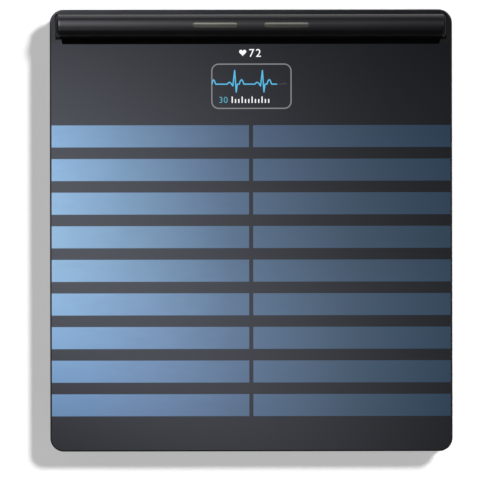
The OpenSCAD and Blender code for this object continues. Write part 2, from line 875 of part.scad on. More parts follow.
module reel_housing() {
    color([0.17, 0.17, 0.18]) difference() {
        union() {
            translate([reel_x, reel_y, housing_z]) cylinder(r = housing_r, h = plate_z - housing_z);
            for (a = [45:90:315]) {
                translate([reel_x, reel_y, ear_z]) rotate(a) {
                    translate([housing_r - 2, -ear_r, 0]) cube([ear_out + 2, 2 * ear_r, ear_t]);
                    translate([reel_ear_r, 0, 0]) cylinder(r = ear_r, h = ear_t);
                }
            }
        }
        translate([reel_x, reel_y, housing_z + housing_t]) cylinder(r = housing_in, h = far);
        translate([reel_x, reel_y, ear_z]) cylinder(r = cover_disc_r + fit_gap, h = far);
        translate([reel_x, reel_y, housing_z - 1]) cylinder(r = axle_r + 0.02, h = far);
        for (p = reel_ears) {
            translate([p[0], p[1], ear_z - 1]) cylinder(r = small_r + screw_gap, h = far);
        }
        translate([-2.4, reel_y + 8, housing_z + housing_t]) cube([4.8, housing_r, 4.2]);
    }
}

module reel_cover() {
    color([0.2, 0.2, 0.21]) translate([reel_x, reel_y, ear_z]) difference() {
        cylinder(r = cover_disc_r, h = ear_t);
        translate([0, 0, -1]) cylinder(r = axle_r + 0.02, h = ear_t + 2);
    }
}

module reel_axle() {
    color([0.7, 0.71, 0.73]) translate([reel_x, reel_y, housing_z]) {
        cylinder(r = axle_r, h = plate_z - housing_z - 0.1);
    }
}

// Drum that the cord winds on, hollow above its web for the flat spring
module reel_drum() {
    height = drum_top - drum_z;
    color([0.85, 0.85, 0.83]) translate([reel_x, reel_y, drum_z]) difference() {
        union() {
            cylinder(r = core_r, h = height);
            cylinder(r = drum_flange_r, h = flange_h);
            translate([0, 0, height - flange_h]) cylinder(r = drum_flange_r, h = flange_h);
        }
        translate([0, 0, -1]) cylinder(r = core_r - 4, h = web_z - drum_z + 1);
        translate([0, 0, web_z - drum_z + web_t]) cylinder(r = core_r - 2, h = height);
        translate([0, 0, -1]) cylinder(r = axle_r + 0.05, h = height + 2);
    }
}

// Ring board under the web, with the tracks that carry the signals to the brushes
module slip_ring() {
    color([0.75, 0.6, 0.25]) translate([reel_x, reel_y, web_z - 0.9]) difference() {
        cylinder(r = core_r - 6, h = 0.9);
        translate([0, 0, -1]) cylinder(r = 6, h = 3);
    }
}

module brush_block() {
    floor_top = housing_z + housing_t;
    color([0.3, 0.3, 0.32]) translate([reel_x + 13, reel_y, floor_top]) {
        translate([-5, -4, 0]) cube([10, 8, 0.8]);
        for (x = [-3, 0, 3]) {
            translate([x, 0, 0.8 - eps]) cylinder(r = 0.6, h = web_z - 0.9 - 0.1 - floor_top - 0.8 + eps);
        }
    }
}

// Flat spiral spring between the axle and the wall of the drum
module reel_spring() {
    turns = 6;
    steps = 28;
    half = 0.2;
    r0 = axle_r + half;
    r1 = core_r - 2 - half - 0.1;
    n = turns * steps;
    z0 = web_z + web_t + 0.3;
    height = drum_top - z0 - 0.3;
    color([0.55, 0.58, 0.62]) translate([reel_x, reel_y, z0]) linear_extrude(height) polygon(concat(
        [for (i = [0:n]) (r0 + (r1 - r0) * i / n + half) * [cos(360 * i / steps), sin(360 * i / steps)]],
        [for (i = [n:-1:0]) (r0 + (r1 - r0) * i / n - half) * [cos(360 * i / steps), sin(360 * i / steps)]]
    ));
}

// Outer layer of turns on the drum, up to the point where the cord leaves it
function winding() = [
    for (i = [0:floor(wind_turns * wind_steps)])
        let (a = 360 * (i / wind_steps - wind_turns))
        [reel_x + wind_r * cos(a), reel_y + wind_r * sin(a), wind_z - wind_pitch * a / 360]
];

// Straight out of the reel, under the guide pulley and up to the eyelet
function run() = concat(
    [[0, reel_y + 6, wind_z], [0, reel_y + 15, wind_z], [0, reel_y + 25, wind_z]],
    [for (a = [-90:11.25:0]) [0, pulley_y + bend_r * cos(a), pulley_z + bend_r * sin(a)]],
    [[0, bar_y, pulley_z + 2.4], [0, bar_y, dock_z]]
);

// Free space between one turn of the winding and the next
function least_gap(p, r, skip) = min([
    for (i = [0:len(p) - 1 - skip], j = [i + skip:len(p) - 1]) norm(p[i] - p[j]) - 2 * r
]);
echo(winding_gap = least_gap(winding(), cord_d / 2, wind_steps / 2));

// Cord from its turns on the drum to the eyelet, with a plain ring for the turns under the outer layer
module reel_cord() {
    turns = winding();
    out = run();
    ups = concat([for (p = turns) unit([p[0] - reel_x, p[1] - reel_y, 0])], [for (p = out) [1, 0, 0]]);
    color([0.08, 0.08, 0.09]) {
        tube(concat(turns, out), cord_d / 2, ups);
        translate([reel_x, reel_y, drum_z + flange_h + wind_gap]) difference() {
            cylinder(r = wind_r - cord_d / 2 - 0.1, h = drum_top - drum_z - 2 * (flange_h + wind_gap));
            translate([0, 0, -1]) cylinder(r = core_r + wind_gap, h = far);
        }
    }
}

// Stretch of cord through the eyelet and up to its anchor in the bar
module handle_cord() {
    ends = [[0, bar_y, dock_z], [0, bar_y, cord_end]];
    color([0.08, 0.08, 0.09]) tube(ends, cord_d / 2, [for (p = ends) [1, 0, 0]]);
}

module guide_pulley() {
    color([0.85, 0.85, 0.83]) translate([0, pulley_y, pulley_z]) rotate([0, 90, 0]) {
        difference() {
            translate([0, 0, -pulley_half]) cylinder(r = pulley_r, h = 2 * pulley_half);
            rotate_extrude() polygon([
                [groove_r, -0.9], [pulley_r + 1, -1.6], [pulley_r + 1, 1.6], [groove_r, 0.9]
            ]);
            translate([0, 0, -5]) cylinder(r = pin_r + 0.05, h = 10);
        }
    }
}

module pulley_pin() {
    half = pulley_half + cheek_gap + cheek_t;
    color([0.7, 0.71, 0.73]) translate([-half, pulley_y, pulley_z]) rotate([0, 90, 0]) {
        cylinder(r = pin_r, h = 2 * half);
    }
}

module pulley_bracket() {
    cheek_x = pulley_half + cheek_gap;
    front = pulley_y - 5;
    back = bar_y + cord_d / 2 + 0.45;
    low = pulley_z - 3.4;
    color([0.6, 0.61, 0.63]) difference() {
        union() {
            for (sx = [0, 1]) mirror([sx, 0, 0]) {
                translate([cheek_x, front, low]) cube([cheek_t, back - front + 1.4, dock_z - low]);
                translate([cheek_x, pulley_y - 3.6, dock_z - 1.6])
                    cube([stake_x + 3.5 - cheek_x, 7.2, 1.6]);
            }
            translate([-cheek_x - 0.5, back, low]) cube([2 * cheek_x + 1, 1.4, dock_z - low]);
        }
        for (sx = [-1, 1]) {
            translate([sx * stake_x, pulley_y, dock_z - 3]) cylinder(r = stake_r + 0.05, h = 4);
        }
        translate([-10, pulley_y, pulley_z]) rotate([0, 90, 0]) cylinder(r = pin_r + 0.02, h = 20);
    }
}

module cord_eyelet() {
    color([0.72, 0.73, 0.75]) translate([0, bar_y, dock_z]) difference() {
        union() {
            cylinder(r = 2.5, h = 1);
            translate([0, 0, 0.9]) cylinder(r = 3.2, h = dock_floor_t - 0.9);
        }
        translate([0, 0, -1]) cylinder(r = 1.5, h = 5);
        translate([0, 0, dock_floor_t - 0.4]) cylinder(r1 = 1.5, r2 = 2, h = 0.5);
    }
}

// Full round bar with rounded end edges, lying along the width
module bar_body() {
    flat = bar_half - bar_end_r;
    arc = [for (a = [90:-15:0]) [bar_r - bar_end_r + bar_end_r * sin(a), flat + bar_end_r * cos(a)]];
    translate([0, bar_y, bar_z]) rotate([0, 90, 0]) rotate_extrude($fn = 128) polygon(concat(
        [[0, -bar_half]],
        [for (i = [len(arc) - 1:-1:0]) [arc[i][0], -arc[i][1]]],
        arc,
        [[0, bar_half]]
    ));
}

module bar_hollow() {
    half = bar_half - bar_wall;
    translate([-half, bar_y, bar_z]) rotate([0, 90, 0]) cylinder(r = bar_in, h = 2 * half, $fn = 128);
}

// Half of the space around the bar: above the joint line for 1, below it for -1
module half_space(side) {
    translate([-far, -far, side > 0 ? bar_z : bar_z - 2 * far]) cube([2 * far, 2 * far, 2 * far]);
}

// Ring-shaped space between two radii of the bar
module bar_skin(inner, outer) {
    translate([-far / 2, bar_y, bar_z]) rotate([0, 90, 0]) difference() {
        cylinder(r = outer, h = far, $fn = 128);
        translate([0, 0, -1]) cylinder(r = inner, h = far + 2, $fn = 128);
    }
}

// Curved electrode plate that follows the bar, with two legs that reach the inner board
module electrode(x, y, l, w, side, board_face) {
    intersection() {
        bar_skin(bar_r - 0.8, bar_r + 0.15);
        half_space(side);
        translate([x, y, bar_z - far / 2]) pill(l, w, far);
    }
    for (s = [-1, 1]) {
        low = side > 0 ? board_face : bar_z - bar_r + 0.4;
        high = side > 0 ? bar_z + bar_r - 0.5 : board_face;
        translate([x + s * leg_off, y, low]) cylinder(r = leg_r, h = high - low);
    }
}

// Recess for an electrode plate and the two holes for its legs
module electrode_seat(x, y, l, w, side) {
    intersection() {
        bar_skin(bar_r - 0.85, bar_r + 1);
        half_space(side);
        translate([x, y, bar_z - far / 2]) pill(l + 0.2, w + 0.2, far);
    }
    for (s = [-1, 1]) {
        translate([x + s * leg_off, y, side > 0 ? bar_z + 1 : bar_z - bar_r]) {
            cylinder(r = leg_r + 0.1, h = bar_r - 1);
        }
    }
}

module handle_upper_shell() {
    color([0.06, 0.06, 0.065]) difference() {
        intersection() {
            difference() {
                bar_body();
                difference() {
                    bar_hollow();
                    for (x = handle_screw_x) {
                        translate([x, bar_y, bar_z - 1]) cylinder(r = 2.8, h = bar_r);
                    }
                }
            }
            half_space(1);
        }
        for (x = handle_screw_x) {
            translate([x, bar_y, bar_z - 1])
                cylinder(r = hscrew_r + screw_gap, h = hscrew_tip - bar_z + 1.5);
        }
        for (s = [-1, 1]) {
            electrode_seat(s * thumb_x, bar_y + thumb_back, thumb_l, thumb_w, 1);
        }
    }
}

module handle_lower_shell() {
    color([0.06, 0.06, 0.065]) difference() {
        intersection() {
            difference() {
                bar_body();
                difference() {
                    bar_hollow();
                    for (x = handle_screw_x) {
                        translate([x, bar_y, bar_z - bar_r]) cylinder(r = 3.2, h = bar_r + 1);
                    }
                    translate([0, bar_y, bar_z - bar_r]) cylinder(r = 5, h = anchor_z - bar_z + bar_r);
                    for (x = [-55, -14, 14, 55]) {
                        translate([x - 0.8, bar_y - hboard_w / 2, hboard_z - bar_r])
                            cube([1.6, hboard_w, bar_r]);
                    }
                }
            }
            half_space(-1);
        }
        for (x = handle_screw_x) {
            translate([x, bar_y, bar_z - far]) cylinder(r = hscrew_r + 0.2, h = 2 * far);
            translate([x, bar_y, hscrew_seat - far]) cylinder(r = hscrew_head_r + 0.2, h = far);
        }
        translate([0, bar_y, bar_z - bar_r - 1]) cylinder(r = 2.45, h = 6);
        for (s = [-1, 1]) {
            electrode_seat(s * finger_x, bar_y, finger_l, finger_w, -1);
        }
    }
}

module thumb_electrode(side) {
    color([0.5, 0.49, 0.46]) electrode(
        side * thumb_x, bar_y + thumb_back, thumb_l, thumb_w, 1, hboard_z + hboard_t
    );
}

module finger_electrode(side) {
    color([0.5, 0.49, 0.46]) electrode(side * finger_x, bar_y, finger_l, finger_w, -1, hboard_z);
}

module handle_board() {
    color([0.05, 0.28, 0.16]) translate([0, bar_y, hboard_z]) {
        round_box([2 * hboard_half, hboard_w, hboard_t], 1);
    }
}

module handle_screws() {
    length = hscrew_tip - hscrew_seat;
    color([0.3, 0.3, 0.32]) for (x = handle_screw_x) {
        translate([x, bar_y, hscrew_seat]) bolt(hscrew_r, length, hscrew_head_r, hscrew_head_h);
    }
}

// Strain relief moulded on the end of the cord, seated on the pad inside the lower shell,
// with a sleeve that takes the cores up to the handle's board
module cord_anchor() {
    color([0.1, 0.1, 0.11]) translate([0, bar_y, 0]) difference() {
        union() {
            translate([0, 0, bar_z - bar_r + 0.15]) cylinder(r = 2.4, h = anchor_z - bar_z + bar_r);
            translate([0, 0, anchor_z]) cylinder(r = 4, h = 1.2);
            translate([0, 0, anchor_z + 1.1]) cylinder(r = 2.2, h = hboard_z - anchor_z - 1.1);
        }
        translate([0, 0, bar_z - bar_r - 1])
            cylinder(r = cord_d / 2 + 0.02, h = cord_end - bar_z + bar_r + 1);
    }
}

glass_platform();
foot_electrodes(-1);  // foot_electrodes_left
foot_electrodes(1);  // foot_electrodes_right
rear_dock();
bottom_cover();
chassis_plate();
bond_gasket();
display_panel();
display_frame();
display_cable();
main_board();
board_parts();
battery_pack();
battery_tray();
battery_foam();
port_board();
usb_socket();
button_switch();
setup_button();
load_cell(-1, foot_ys[0]);  // load_cell_front_left
load_cell(1, foot_ys[0]);  // load_cell_front_right
load_cell(-1, foot_ys[1]);  // load_cell_back_left
load_cell(1, foot_ys[1]);  // load_cell_back_right
foot_cup(-1, foot_ys[0]);  // foot_cup_front_left
foot_cup(1, foot_ys[0]);  // foot_cup_front_right
foot_cup(-1, foot_ys[1]);  // foot_cup_back_left
foot_cup(1, foot_ys[1]);  // foot_cup_back_right
foot_pad(-1, foot_ys[0]);  // foot_pad_front_left
foot_pad(1, foot_ys[0]);  // foot_pad_front_right
foot_pad(-1, foot_ys[1]);  // foot_pad_back_left
foot_pad(1, foot_ys[1]);  // foot_pad_back_right
cell_screws();
foot_screws();
cover_screws();
inner_screws();
sensor_leads();
inner_leads();
reel_housing();
reel_cover();
reel_axle();
reel_drum();
slip_ring();
brush_block();
reel_spring();
reel_cord();
handle_cord();
guide_pulley();
pulley_pin();
pulley_bracket();
cord_eyelet();
handle_upper_shell();
handle_lower_shell();
thumb_electrode(-1);  // thumb_electrode_left
thumb_electrode(1);  // thumb_electrode_right
finger_electrode(-1);  // finger_electrode_left
finger_electrode(1);  // finger_electrode_right
handle_board();
handle_screws();
cord_anchor();
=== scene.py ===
"""Looks of a flat bathroom scale with a black glass top and a round pull-out hand bar.

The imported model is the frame. Each finish is a small class that makes one node material, and each
sub-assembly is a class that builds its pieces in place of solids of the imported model.
"""

import json
import logging
import math
from dataclasses import dataclass
from enum import Enum
from typing import Callable, Iterable, Sequence

import bmesh
import bpy
from mathutils import Matrix, Vector


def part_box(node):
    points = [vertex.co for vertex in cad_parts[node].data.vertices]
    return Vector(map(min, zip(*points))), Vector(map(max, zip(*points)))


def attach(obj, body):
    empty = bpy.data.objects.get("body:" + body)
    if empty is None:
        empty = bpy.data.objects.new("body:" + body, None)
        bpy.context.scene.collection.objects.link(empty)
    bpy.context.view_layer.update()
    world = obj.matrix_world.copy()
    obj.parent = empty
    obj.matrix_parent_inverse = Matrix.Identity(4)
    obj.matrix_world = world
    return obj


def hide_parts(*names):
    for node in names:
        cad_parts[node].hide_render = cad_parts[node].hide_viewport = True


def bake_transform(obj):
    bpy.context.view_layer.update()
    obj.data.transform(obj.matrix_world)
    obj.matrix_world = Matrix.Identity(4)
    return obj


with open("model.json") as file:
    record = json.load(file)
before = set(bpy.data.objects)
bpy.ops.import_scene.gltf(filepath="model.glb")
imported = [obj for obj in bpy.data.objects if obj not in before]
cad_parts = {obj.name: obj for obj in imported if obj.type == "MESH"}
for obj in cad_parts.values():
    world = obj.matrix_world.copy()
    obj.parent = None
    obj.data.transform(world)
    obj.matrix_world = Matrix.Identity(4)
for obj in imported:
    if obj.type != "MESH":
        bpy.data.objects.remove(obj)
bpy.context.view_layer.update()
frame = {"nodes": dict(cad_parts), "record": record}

Colour = tuple[float, float, float]
Place = tuple[float, float]
Span = tuple[float, float]
Point = tuple[float, float, float]
Terms = tuple[tuple[int, int, float], ...]
Ring = list[Vector]
Socket = bpy.types.NodeSocket
Fall = Callable[["Graph", Socket, Socket], Socket]

LOG = logging.getLogger("scale")
MM = 0.001
# angles in degrees over which an edge is sharp, on hard and on soft pieces
CREASE = 30.0
SOFT_CREASE = 50.0
# segments of a rounded corner and of a rounded upper edge
CORNER_STEPS = 20
RIM_STEPS = 6
# the whole range of a value from 0 to 1, and the part of it that even noise mostly fills
WHOLE: Span = (0.0, 1.0)
MOST: Span = (0.3, 0.7)
# radius of one wire as a share of its bundle's, by the number of wires
WIRE_SHARES = {2: 0.5, 3: 0.46}


# Finishes


class Graph:
    """Short calls that make the node tree of one material, lamp or sky.

    Attributes:
        tree: The node tree that the calls add to.
    """

    def __init__(self, tree: bpy.types.NodeTree) -> None:
        """Starts on an emptied tree."""
        self.tree = tree
        tree.nodes.clear()

    def node(self, kind: str, **settings: object) -> bpy.types.Node:
        """Adds a node.

        Args:
            kind: The node's type without the ShaderNode in front.
            settings: Properties of the node.

        Returns:
            The new node.
        """
        made = self.tree.nodes.new("ShaderNode" + kind)
        for name, value in settings.items():
            setattr(made, name, value)
        return made

    def feed(self, node: bpy.types.Node, **inputs: object) -> bpy.types.Node:
        """Sets or links a node's inputs.

        Args:
            node: The node to feed.
            inputs: Values or sockets by input name, with _ for a space.

        Returns:
            The same node.
        """
        for name, value in inputs.items():
            self.put(node.inputs[name.replace("_", " ")], value)
        return node

    def put(self, socket: Socket, value: object) -> None:
        """Sets or links one input.

        Args:
            socket: The input.
            value: Its value, or the output that it is linked to.
        """
        if isinstance(value, bpy.types.NodeSocket):
            self.tree.links.new(value, socket)
        elif socket.type == "RGBA":
            socket.default_value = (*value, 1.0)
        else:
            socket.default_value = value

    def show(self, kind: str, source: Socket) -> None:
        """Links what the tree makes to a new output node."""
        self.feed(self.node(kind), Surface=source)

    def coords(self, stretch: Point = (1.0, 1.0, 1.0)) -> Socket:
        """Object coordinates, stretched along the axes."""
        where = self.node("TexCoord").outputs["Object"]
        return self.feed(self.node("Mapping"), Vector=where, Scale=stretch).outputs["Vector"]

    def axes(self, where: Socket) -> tuple[Socket, Socket, Socket]:
        """X, Y and Z of coordinates."""
        return tuple(self.feed(self.node("SeparateXYZ"), Vector=where).outputs)

    def noise(self, where: Socket, scale: float, detail: float = 2.0) -> Socket:
        """Even noise from 0 to 1, with its features per metre and its octaves."""
        made = self.feed(self.node("TexNoise"), Vector=where, Scale=scale, Detail=detail)
        return made.outputs["Fac"]

    def between(self, value: Socket, low: float, high: float, start: float = 0.0,
                end: float = 1.0, smooth: bool = False) -> Socket:
        """Maps a value's range onto another one.

        Args:
            value: The value to map.
            low: Result at start.
            high: Result at end.
            start: Value that gives low.
            end: Value that gives high.
            smooth: Whether the change eases in and out.

        Returns:
            The mapped value.
        """
        kind = "SMOOTHSTEP" if smooth else "LINEAR"
        made = self.feed(self.node("MapRange", interpolation_type=kind), Value=value,
                         From_Min=start, From_Max=end, To_Min=low, To_Max=high)
        return made.outputs["Result"]

    def math(self, kind: str, first: object, second: object = 0.0) -> Socket:
        """One sum.

        Args:
            kind: The operation's name.
            first: First value or socket.
            second: Second value or socket.

        Returns:
            The result.
        """
        made = self.node("Math", operation=kind)
        self.put(made.inputs[0], first)
        self.put(made.inputs[1], second)
        return made.outputs[0]

    def tones(self, value: Socket, *stops: tuple[float, Colour]) -> Socket:
        """Colours along a ramp.

        Args:
            value: Place on the ramp, from 0 to 1.
            stops: Pairs of a place and a colour.

        Returns:
            The colour socket.
        """
        ramp = self.feed(self.node("ValToRGB"), Fac=value)
        bar = ramp.color_ramp
        while len(bar.elements) < len(stops):
            bar.elements.new(1.0)
        for element, (place, colour) in zip(bar.elements, stops):
            element.position = place
            element.color = (*colour, 1.0)
        return ramp.outputs["Color"]

    def mix(self, share: Socket, one: Socket, two: Socket) -> Socket:
        """Mixes two colours.

        Args:
            share: Share of the second colour.
            one: First colour.
            two: Second colour.

        Returns:
            The mixed colour.
        """
        blend = self.node("Mix", data_type="RGBA")
        for place, source in ((0, share), (6, one), (7, two)):
            self.put(blend.inputs[place], source)
        return blend.outputs[2]

    def bump(self, height: Socket, depth: float) -> Socket:
        """A normal that is tilted by a height from 0 to 1, which is really depth metres."""
        made = self.feed(self.node("Bump"), Height=height, Strength=1.0, Distance=depth)
        return made.outputs["Normal"]


@dataclass(frozen=True)
class Finish:
    """What one surface looks like.

    Attributes:
        name: The material's name.
        colour: Base colour, linear.
        roughness: Middle of the roughness.
        metallic: 1 for metal.
        spread: How far roughness wanders either way.
        contrast: Factors of the darker and of the lighter tone.
    """

    name: str
    colour: Colour
    roughness: float = 0.5
    metallic: float = 0.0
    spread: float = 0.05
    contrast: Span = (0.9, 1.1)

    def material(self) -> bpy.types.Material:
        """Makes the material at its first use.

        Returns:
            The finish's material.
        """
        made = bpy.data.materials.get(self.name)
        if made is None:
            made = bpy.data.materials.new(self.name)
            made.use_nodes = True
            graph = Graph(made.node_tree)
            shader = graph.node("BsdfPrincipled")
            shader.inputs["Metallic"].default_value = self.metallic
            self.paint(graph, shader)
            graph.show("OutputMaterial", shader.outputs[0])
            made.diffuse_color = (*self.colour, 1.0)
        return made

    def paint(self, graph: Graph, shader: bpy.types.Node) -> None:
        """Feeds the shader. Each kind of finish has its own way."""
        raise NotImplementedError

    def tone(self, graph: Graph, value: Socket, span: Span = MOST) -> Socket:
        """The base colour, from dark to light over a span of a value."""
        shades = (tuple(min(1.0, c * gain) for c in self.colour) for gain in self.contrast)
        return graph.tones(value, *zip(span, shades))

    def wander(self, graph: Graph, value: Socket, span: Span = WHOLE) -> Socket:
        """The roughness, from low to high over a span of a value."""
        low, high = self.roughness - self.spread, self.roughness + self.spread
        return graph.between(value, low, high, *span)


@dataclass(frozen=True)
class Gloss(Finish):
    """Polished glass or plastic, with faint wipe marks in its gloss.

    Attributes:
        wipe: Wipe marks per metre.
        mirror: How strongly the face mirrors; 0.5 is plain glass.
        tint: Colour of what it mirrors.
    """

    contrast: Span = (0.85, 1.15)
    wipe: float = 9.0
    mirror: float = 0.5
    tint: Colour = (1.0, 1.0, 1.0)

    def paint(self, graph: Graph, shader: bpy.types.Node) -> None:
        """Mottled near-black under a clear, slightly wiped face.

        Args:
            graph: The material's tree.
            shader: Its Principled node.
        """
        cloud = graph.noise(graph.coords(), self.wipe, detail=4.0)
        graph.feed(shader, Specular_IOR_Level=self.mirror, Specular_Tint=self.tint,
                   Base_Color=self.tone(graph, cloud),
                   Roughness=self.wander(graph, cloud, MOST))


@dataclass(frozen=True)
class Film(Finish):
    """Reflective conductive coating on glass, with painted reflection in its colour: bright at the
    left ends of the rows, dark at the right ends, and different in the far, middle and near rows.

    Attributes:
        reach: Distance from the middle line to the outer ends in metres.
        stops: Places of the colours of a row, as shares from its left to its right end.
        far: Colours of the far rows at those places, with painted reflection in them.
        middle: Colours of the middle rows, with painted reflection in them.
        near: Colours of the near rows, with painted reflection in them.
        far_reach: Y at which the far rows' colours start and are full.
        near_reach: Y at which the near rows' colours are full and end.
        grain: Spots of the coating per metre.
        stretch: How much finer the spots are along X, Y and Z.
        uneven: How far the spots shift the colours, as a share of a row.
    """

    reach: float = 0.1611
    stops: tuple[float, ...] = (0.0, 0.2, 0.45, 0.76, 1.0)
    # painted reflection: each row of colours runs from bright at the left end to dark at the right
    # end
    far: tuple[Colour, ...] = (
        (0.161, 0.272, 0.42), (0.134, 0.216, 0.335), (0.111, 0.166, 0.268),
        (0.109, 0.168, 0.265), (0.1, 0.182, 0.308),
    )
    middle: tuple[Colour, ...] = (
        (0.168, 0.272, 0.396), (0.134, 0.214, 0.322), (0.102, 0.157, 0.243),
        (0.1, 0.154, 0.232), (0.102, 0.176, 0.276),
    )
    near: tuple[Colour, ...] = (
        (0.175, 0.306, 0.52), (0.146, 0.229, 0.384), (0.112, 0.166, 0.268),
        (0.094, 0.145, 0.216), (0.086, 0.154, 0.246),
    )
    far_reach: Span = (0.0, 0.076)
    near_reach: Span = (-0.141, -0.03)
    grain: float = 60.0
    stretch: Point = (1.0, 3.0, 1.0)
    uneven: float = 0.03

    def paint(self, graph: Graph, shader: bpy.types.Node) -> None:
        """Metal colour with a painted reflection that falls along the rows and changes across them,
        with a fine uneven gloss.

        Args:
            graph: The material's tree.
            shader: Its Principled node.
        """
        fine = graph.noise(graph.coords(self.stretch), self.grain, detail=3.0)
        x, y, _ = graph.axes(graph.coords())
        # painted reflection: the colour falls along the rows and is blended between the far, middle
        # and near rows
        along = graph.between(x, 0.0, 1.0, -self.reach, self.reach)
        place = graph.math("ADD", along, graph.between(fine, -self.uneven, self.uneven))
        far, middle, near = (graph.tones(place, *zip(self.stops, row))
                             for row in (self.far, self.middle, self.near))
        back = graph.between(y, 0.0, 1.0, *self.far_reach)
        front = graph.between(y, 1.0, 0.0, *self.near_reach)
        graph.feed(shader, Base_Color=graph.mix(front, graph.mix(back, middle, far), near),
                   Roughness=self.wander(graph, fine))


@dataclass(frozen=True)
class Moulded(Finish):
    """Moulded plastic or rubber with a fine spark-eroded grain.

    Attributes:
        grain: Grains per metre.
        depth: Depth of the grain in metres.
        mirror: How strongly the face mirrors; 0.5 is plain plastic.
        patches: Darker and lighter patches per metre.
    """

    contrast: Span = (0.88, 1.12)
    grain: float = 2600.0
    depth: float = 0.00004
    mirror: float = 0.5
    patches: float = 30.0

    def paint(self, graph: Graph, shader: bpy.types.Node) -> None:
        """Grain in the height, the gloss and a little in the tone.

        Args:
            graph: The material's tree.
            shader: Its Principled node.
        """
        where = graph.coords()
        fine = graph.noise(where, self.grain, detail=3.0)
        graph.feed(shader, Specular_IOR_Level=self.mirror,
                   Base_Color=self.tone(graph, graph.noise(where, self.patches)),
                   Roughness=self.wander(graph, fine), Normal=graph.bump(fine, self.depth))


@dataclass(frozen=True)
class Satin(Finish):
    """Satin paint, with a painted reflection: its sheen is fuller at the left end of the bar and
    falls to the right.

    Attributes:
        reach: Distance from the middle line to the ends in metres.
        cap: Length of the duller caps at both ends in metres.
        fade: Length over which the sheen falls to the caps' in metres.
        cap_sheen: The caps' sheen as a share of the bar's.
        cap_rough: Roughness that the caps have on top.
        left: Strength of the painted sheen at the left end.
        right: Strength of the painted sheen at the right end.
        tint: Colour of the sheen.
        peel: Dimples of the paint per metre.
        depth: Depth of a dimple in metres.
        patches: Darker and lighter patches per metre.
    """

    reach: float = 0.1574
    cap: float = 0.0017
    fade: float = 0.0006
    cap_sheen: float = 0.2
    cap_rough: float = 0.4
    left: float = 0.56
    right: float = 0.3
    tint: Colour = (0.94, 0.915, 1.0)
    peel: float = 4200.0
    depth: float = 0.000004
    patches: float = 30.0

    def paint(self, graph: Graph, shader: bpy.types.Node) -> None:
        """Fine orange peel under a painted sheen that falls along X, and two duller caps.

        Args:
            graph: The material's tree.
            shader: Its Principled node.
        """
        where = graph.coords()
        slow = graph.noise(where, self.patches)
        x, _, _ = graph.axes(where)
        bare = self.reach - self.cap
        ends = (bare - self.fade, bare)
        paint = graph.between(graph.math("ABSOLUTE", x), 1.0, self.cap_sheen, *ends)
        # painted reflection: the sheen's strength falls from the left end to the right end
        sheen = graph.between(x, self.left, self.right, -self.reach, self.reach)
        duller = graph.between(paint, self.cap_rough, 0.0)
        graph.feed(shader, Specular_Tint=self.tint, Base_Color=self.tone(graph, slow),
                   Roughness=graph.math("ADD", self.wander(graph, slow), duller),
                   Specular_IOR_Level=graph.math("MULTIPLY", sheen, paint),
                   Normal=graph.bump(graph.noise(where, self.peel), self.depth))


class Lay(Enum):
    """The way that a metal's marks run."""

    ALONG_X = (0.03, 1.0, 1.0)
    ALONG_Y = (1.0, 0.03, 1.0)
    EVEN = (1.0, 1.0, 1.0)


@dataclass(frozen=True)
class Metal(Finish):
    """Brushed, rolled or milled metal.

    Attributes:
        lay: The way that the marks run.
        marks: Marks per metre, across.
        depth: Depth of a mark in metres.
    """

    metallic: float = 1.0
    contrast: Span = (0.82, 1.14)
    lay: Lay = Lay.ALONG_X
    marks: float = 2200.0
    depth: float = 0.000012

    def paint(self, graph: Graph, shader: bpy.types.Node) -> None:
        """Long streaks in tone, gloss and height.

        Args:
            graph: The material's tree.
            shader: Its Principled node.
        """
        streak = graph.noise(graph.coords(self.lay.value), self.marks, detail=3.0)
        graph.feed(shader, Base_Color=self.tone(graph, streak, (0.32, 0.68)),
                   Roughness=self.wander(graph, streak, MOST),
                   Normal=graph.bump(streak, self.depth))


@dataclass(frozen=True)
class ContactPlate(Metal):
    """Dull contact plate with a painted highlight along its far edge.

    Attributes:
        painted_highlight: Y at which the painted highlight along the far edge starts and is full,
            in metres.
        gain: Brightness of the painted highlight beside the rest.
    """

    # painted highlight along the far edge
    painted_highlight: Span = (0.1661, 0.1669)
    gain: float = 2.2

    def paint(self, graph: Graph, shader: bpy.types.Node) -> None:
        """The metal's streaks, with a painted highlight along the far edge.

        Args:
            graph: The material's tree.
            shader: Its Principled node.
        """
        super().paint(graph, shader)
        tone = shader.inputs["Base Color"].links[0].from_socket
        # painted highlight: the far edge's tone is raised by gain
        painted_highlight = graph.between(graph.axes(graph.coords())[1], 0.0, 1.0, *self.painted_highlight, smooth=True)
        fuller = graph.node("VectorMath", operation="SCALE")
        graph.feed(fuller, Vector=tone, Scale=graph.between(painted_highlight, 1.0, self.gain))
        graph.feed(shader, Base_Color=fuller.outputs[0])


@dataclass(frozen=True)
class Board(Finish):
    """Circuit board: tracks of copper under a coloured mask.

    Attributes:
        cells: Track corners per metre.
        edge: Where a track's edge starts and ends, as shares of a cell.
        copper: Height of the tracks in metres.
    """

    contrast: Span = (0.9, 1.9)
    cells: float = 330.0
    edge: Span = (0.46, 0.52)
    copper: float = 0.00003

    def paint(self, graph: Graph, shader: bpy.types.Node) -> None:
        """Square-cornered tracks, a shade lighter and a hair higher than the board.

        Args:
            graph: The material's tree.
            shader: Its Principled node.
        """
        cells = graph.node("TexVoronoi", distance="CHEBYCHEV", feature="F1")
        graph.feed(cells, Vector=graph.coords(), Scale=self.cells)
        track = graph.between(cells.outputs["Distance"], 0.0, 1.0, *self.edge, smooth=True)
        rough = graph.between(track, self.roughness, self.roughness + self.spread)
        graph.feed(shader, Base_Color=self.tone(graph, track, WHOLE), Roughness=rough,
                   Normal=graph.bump(track, self.copper))


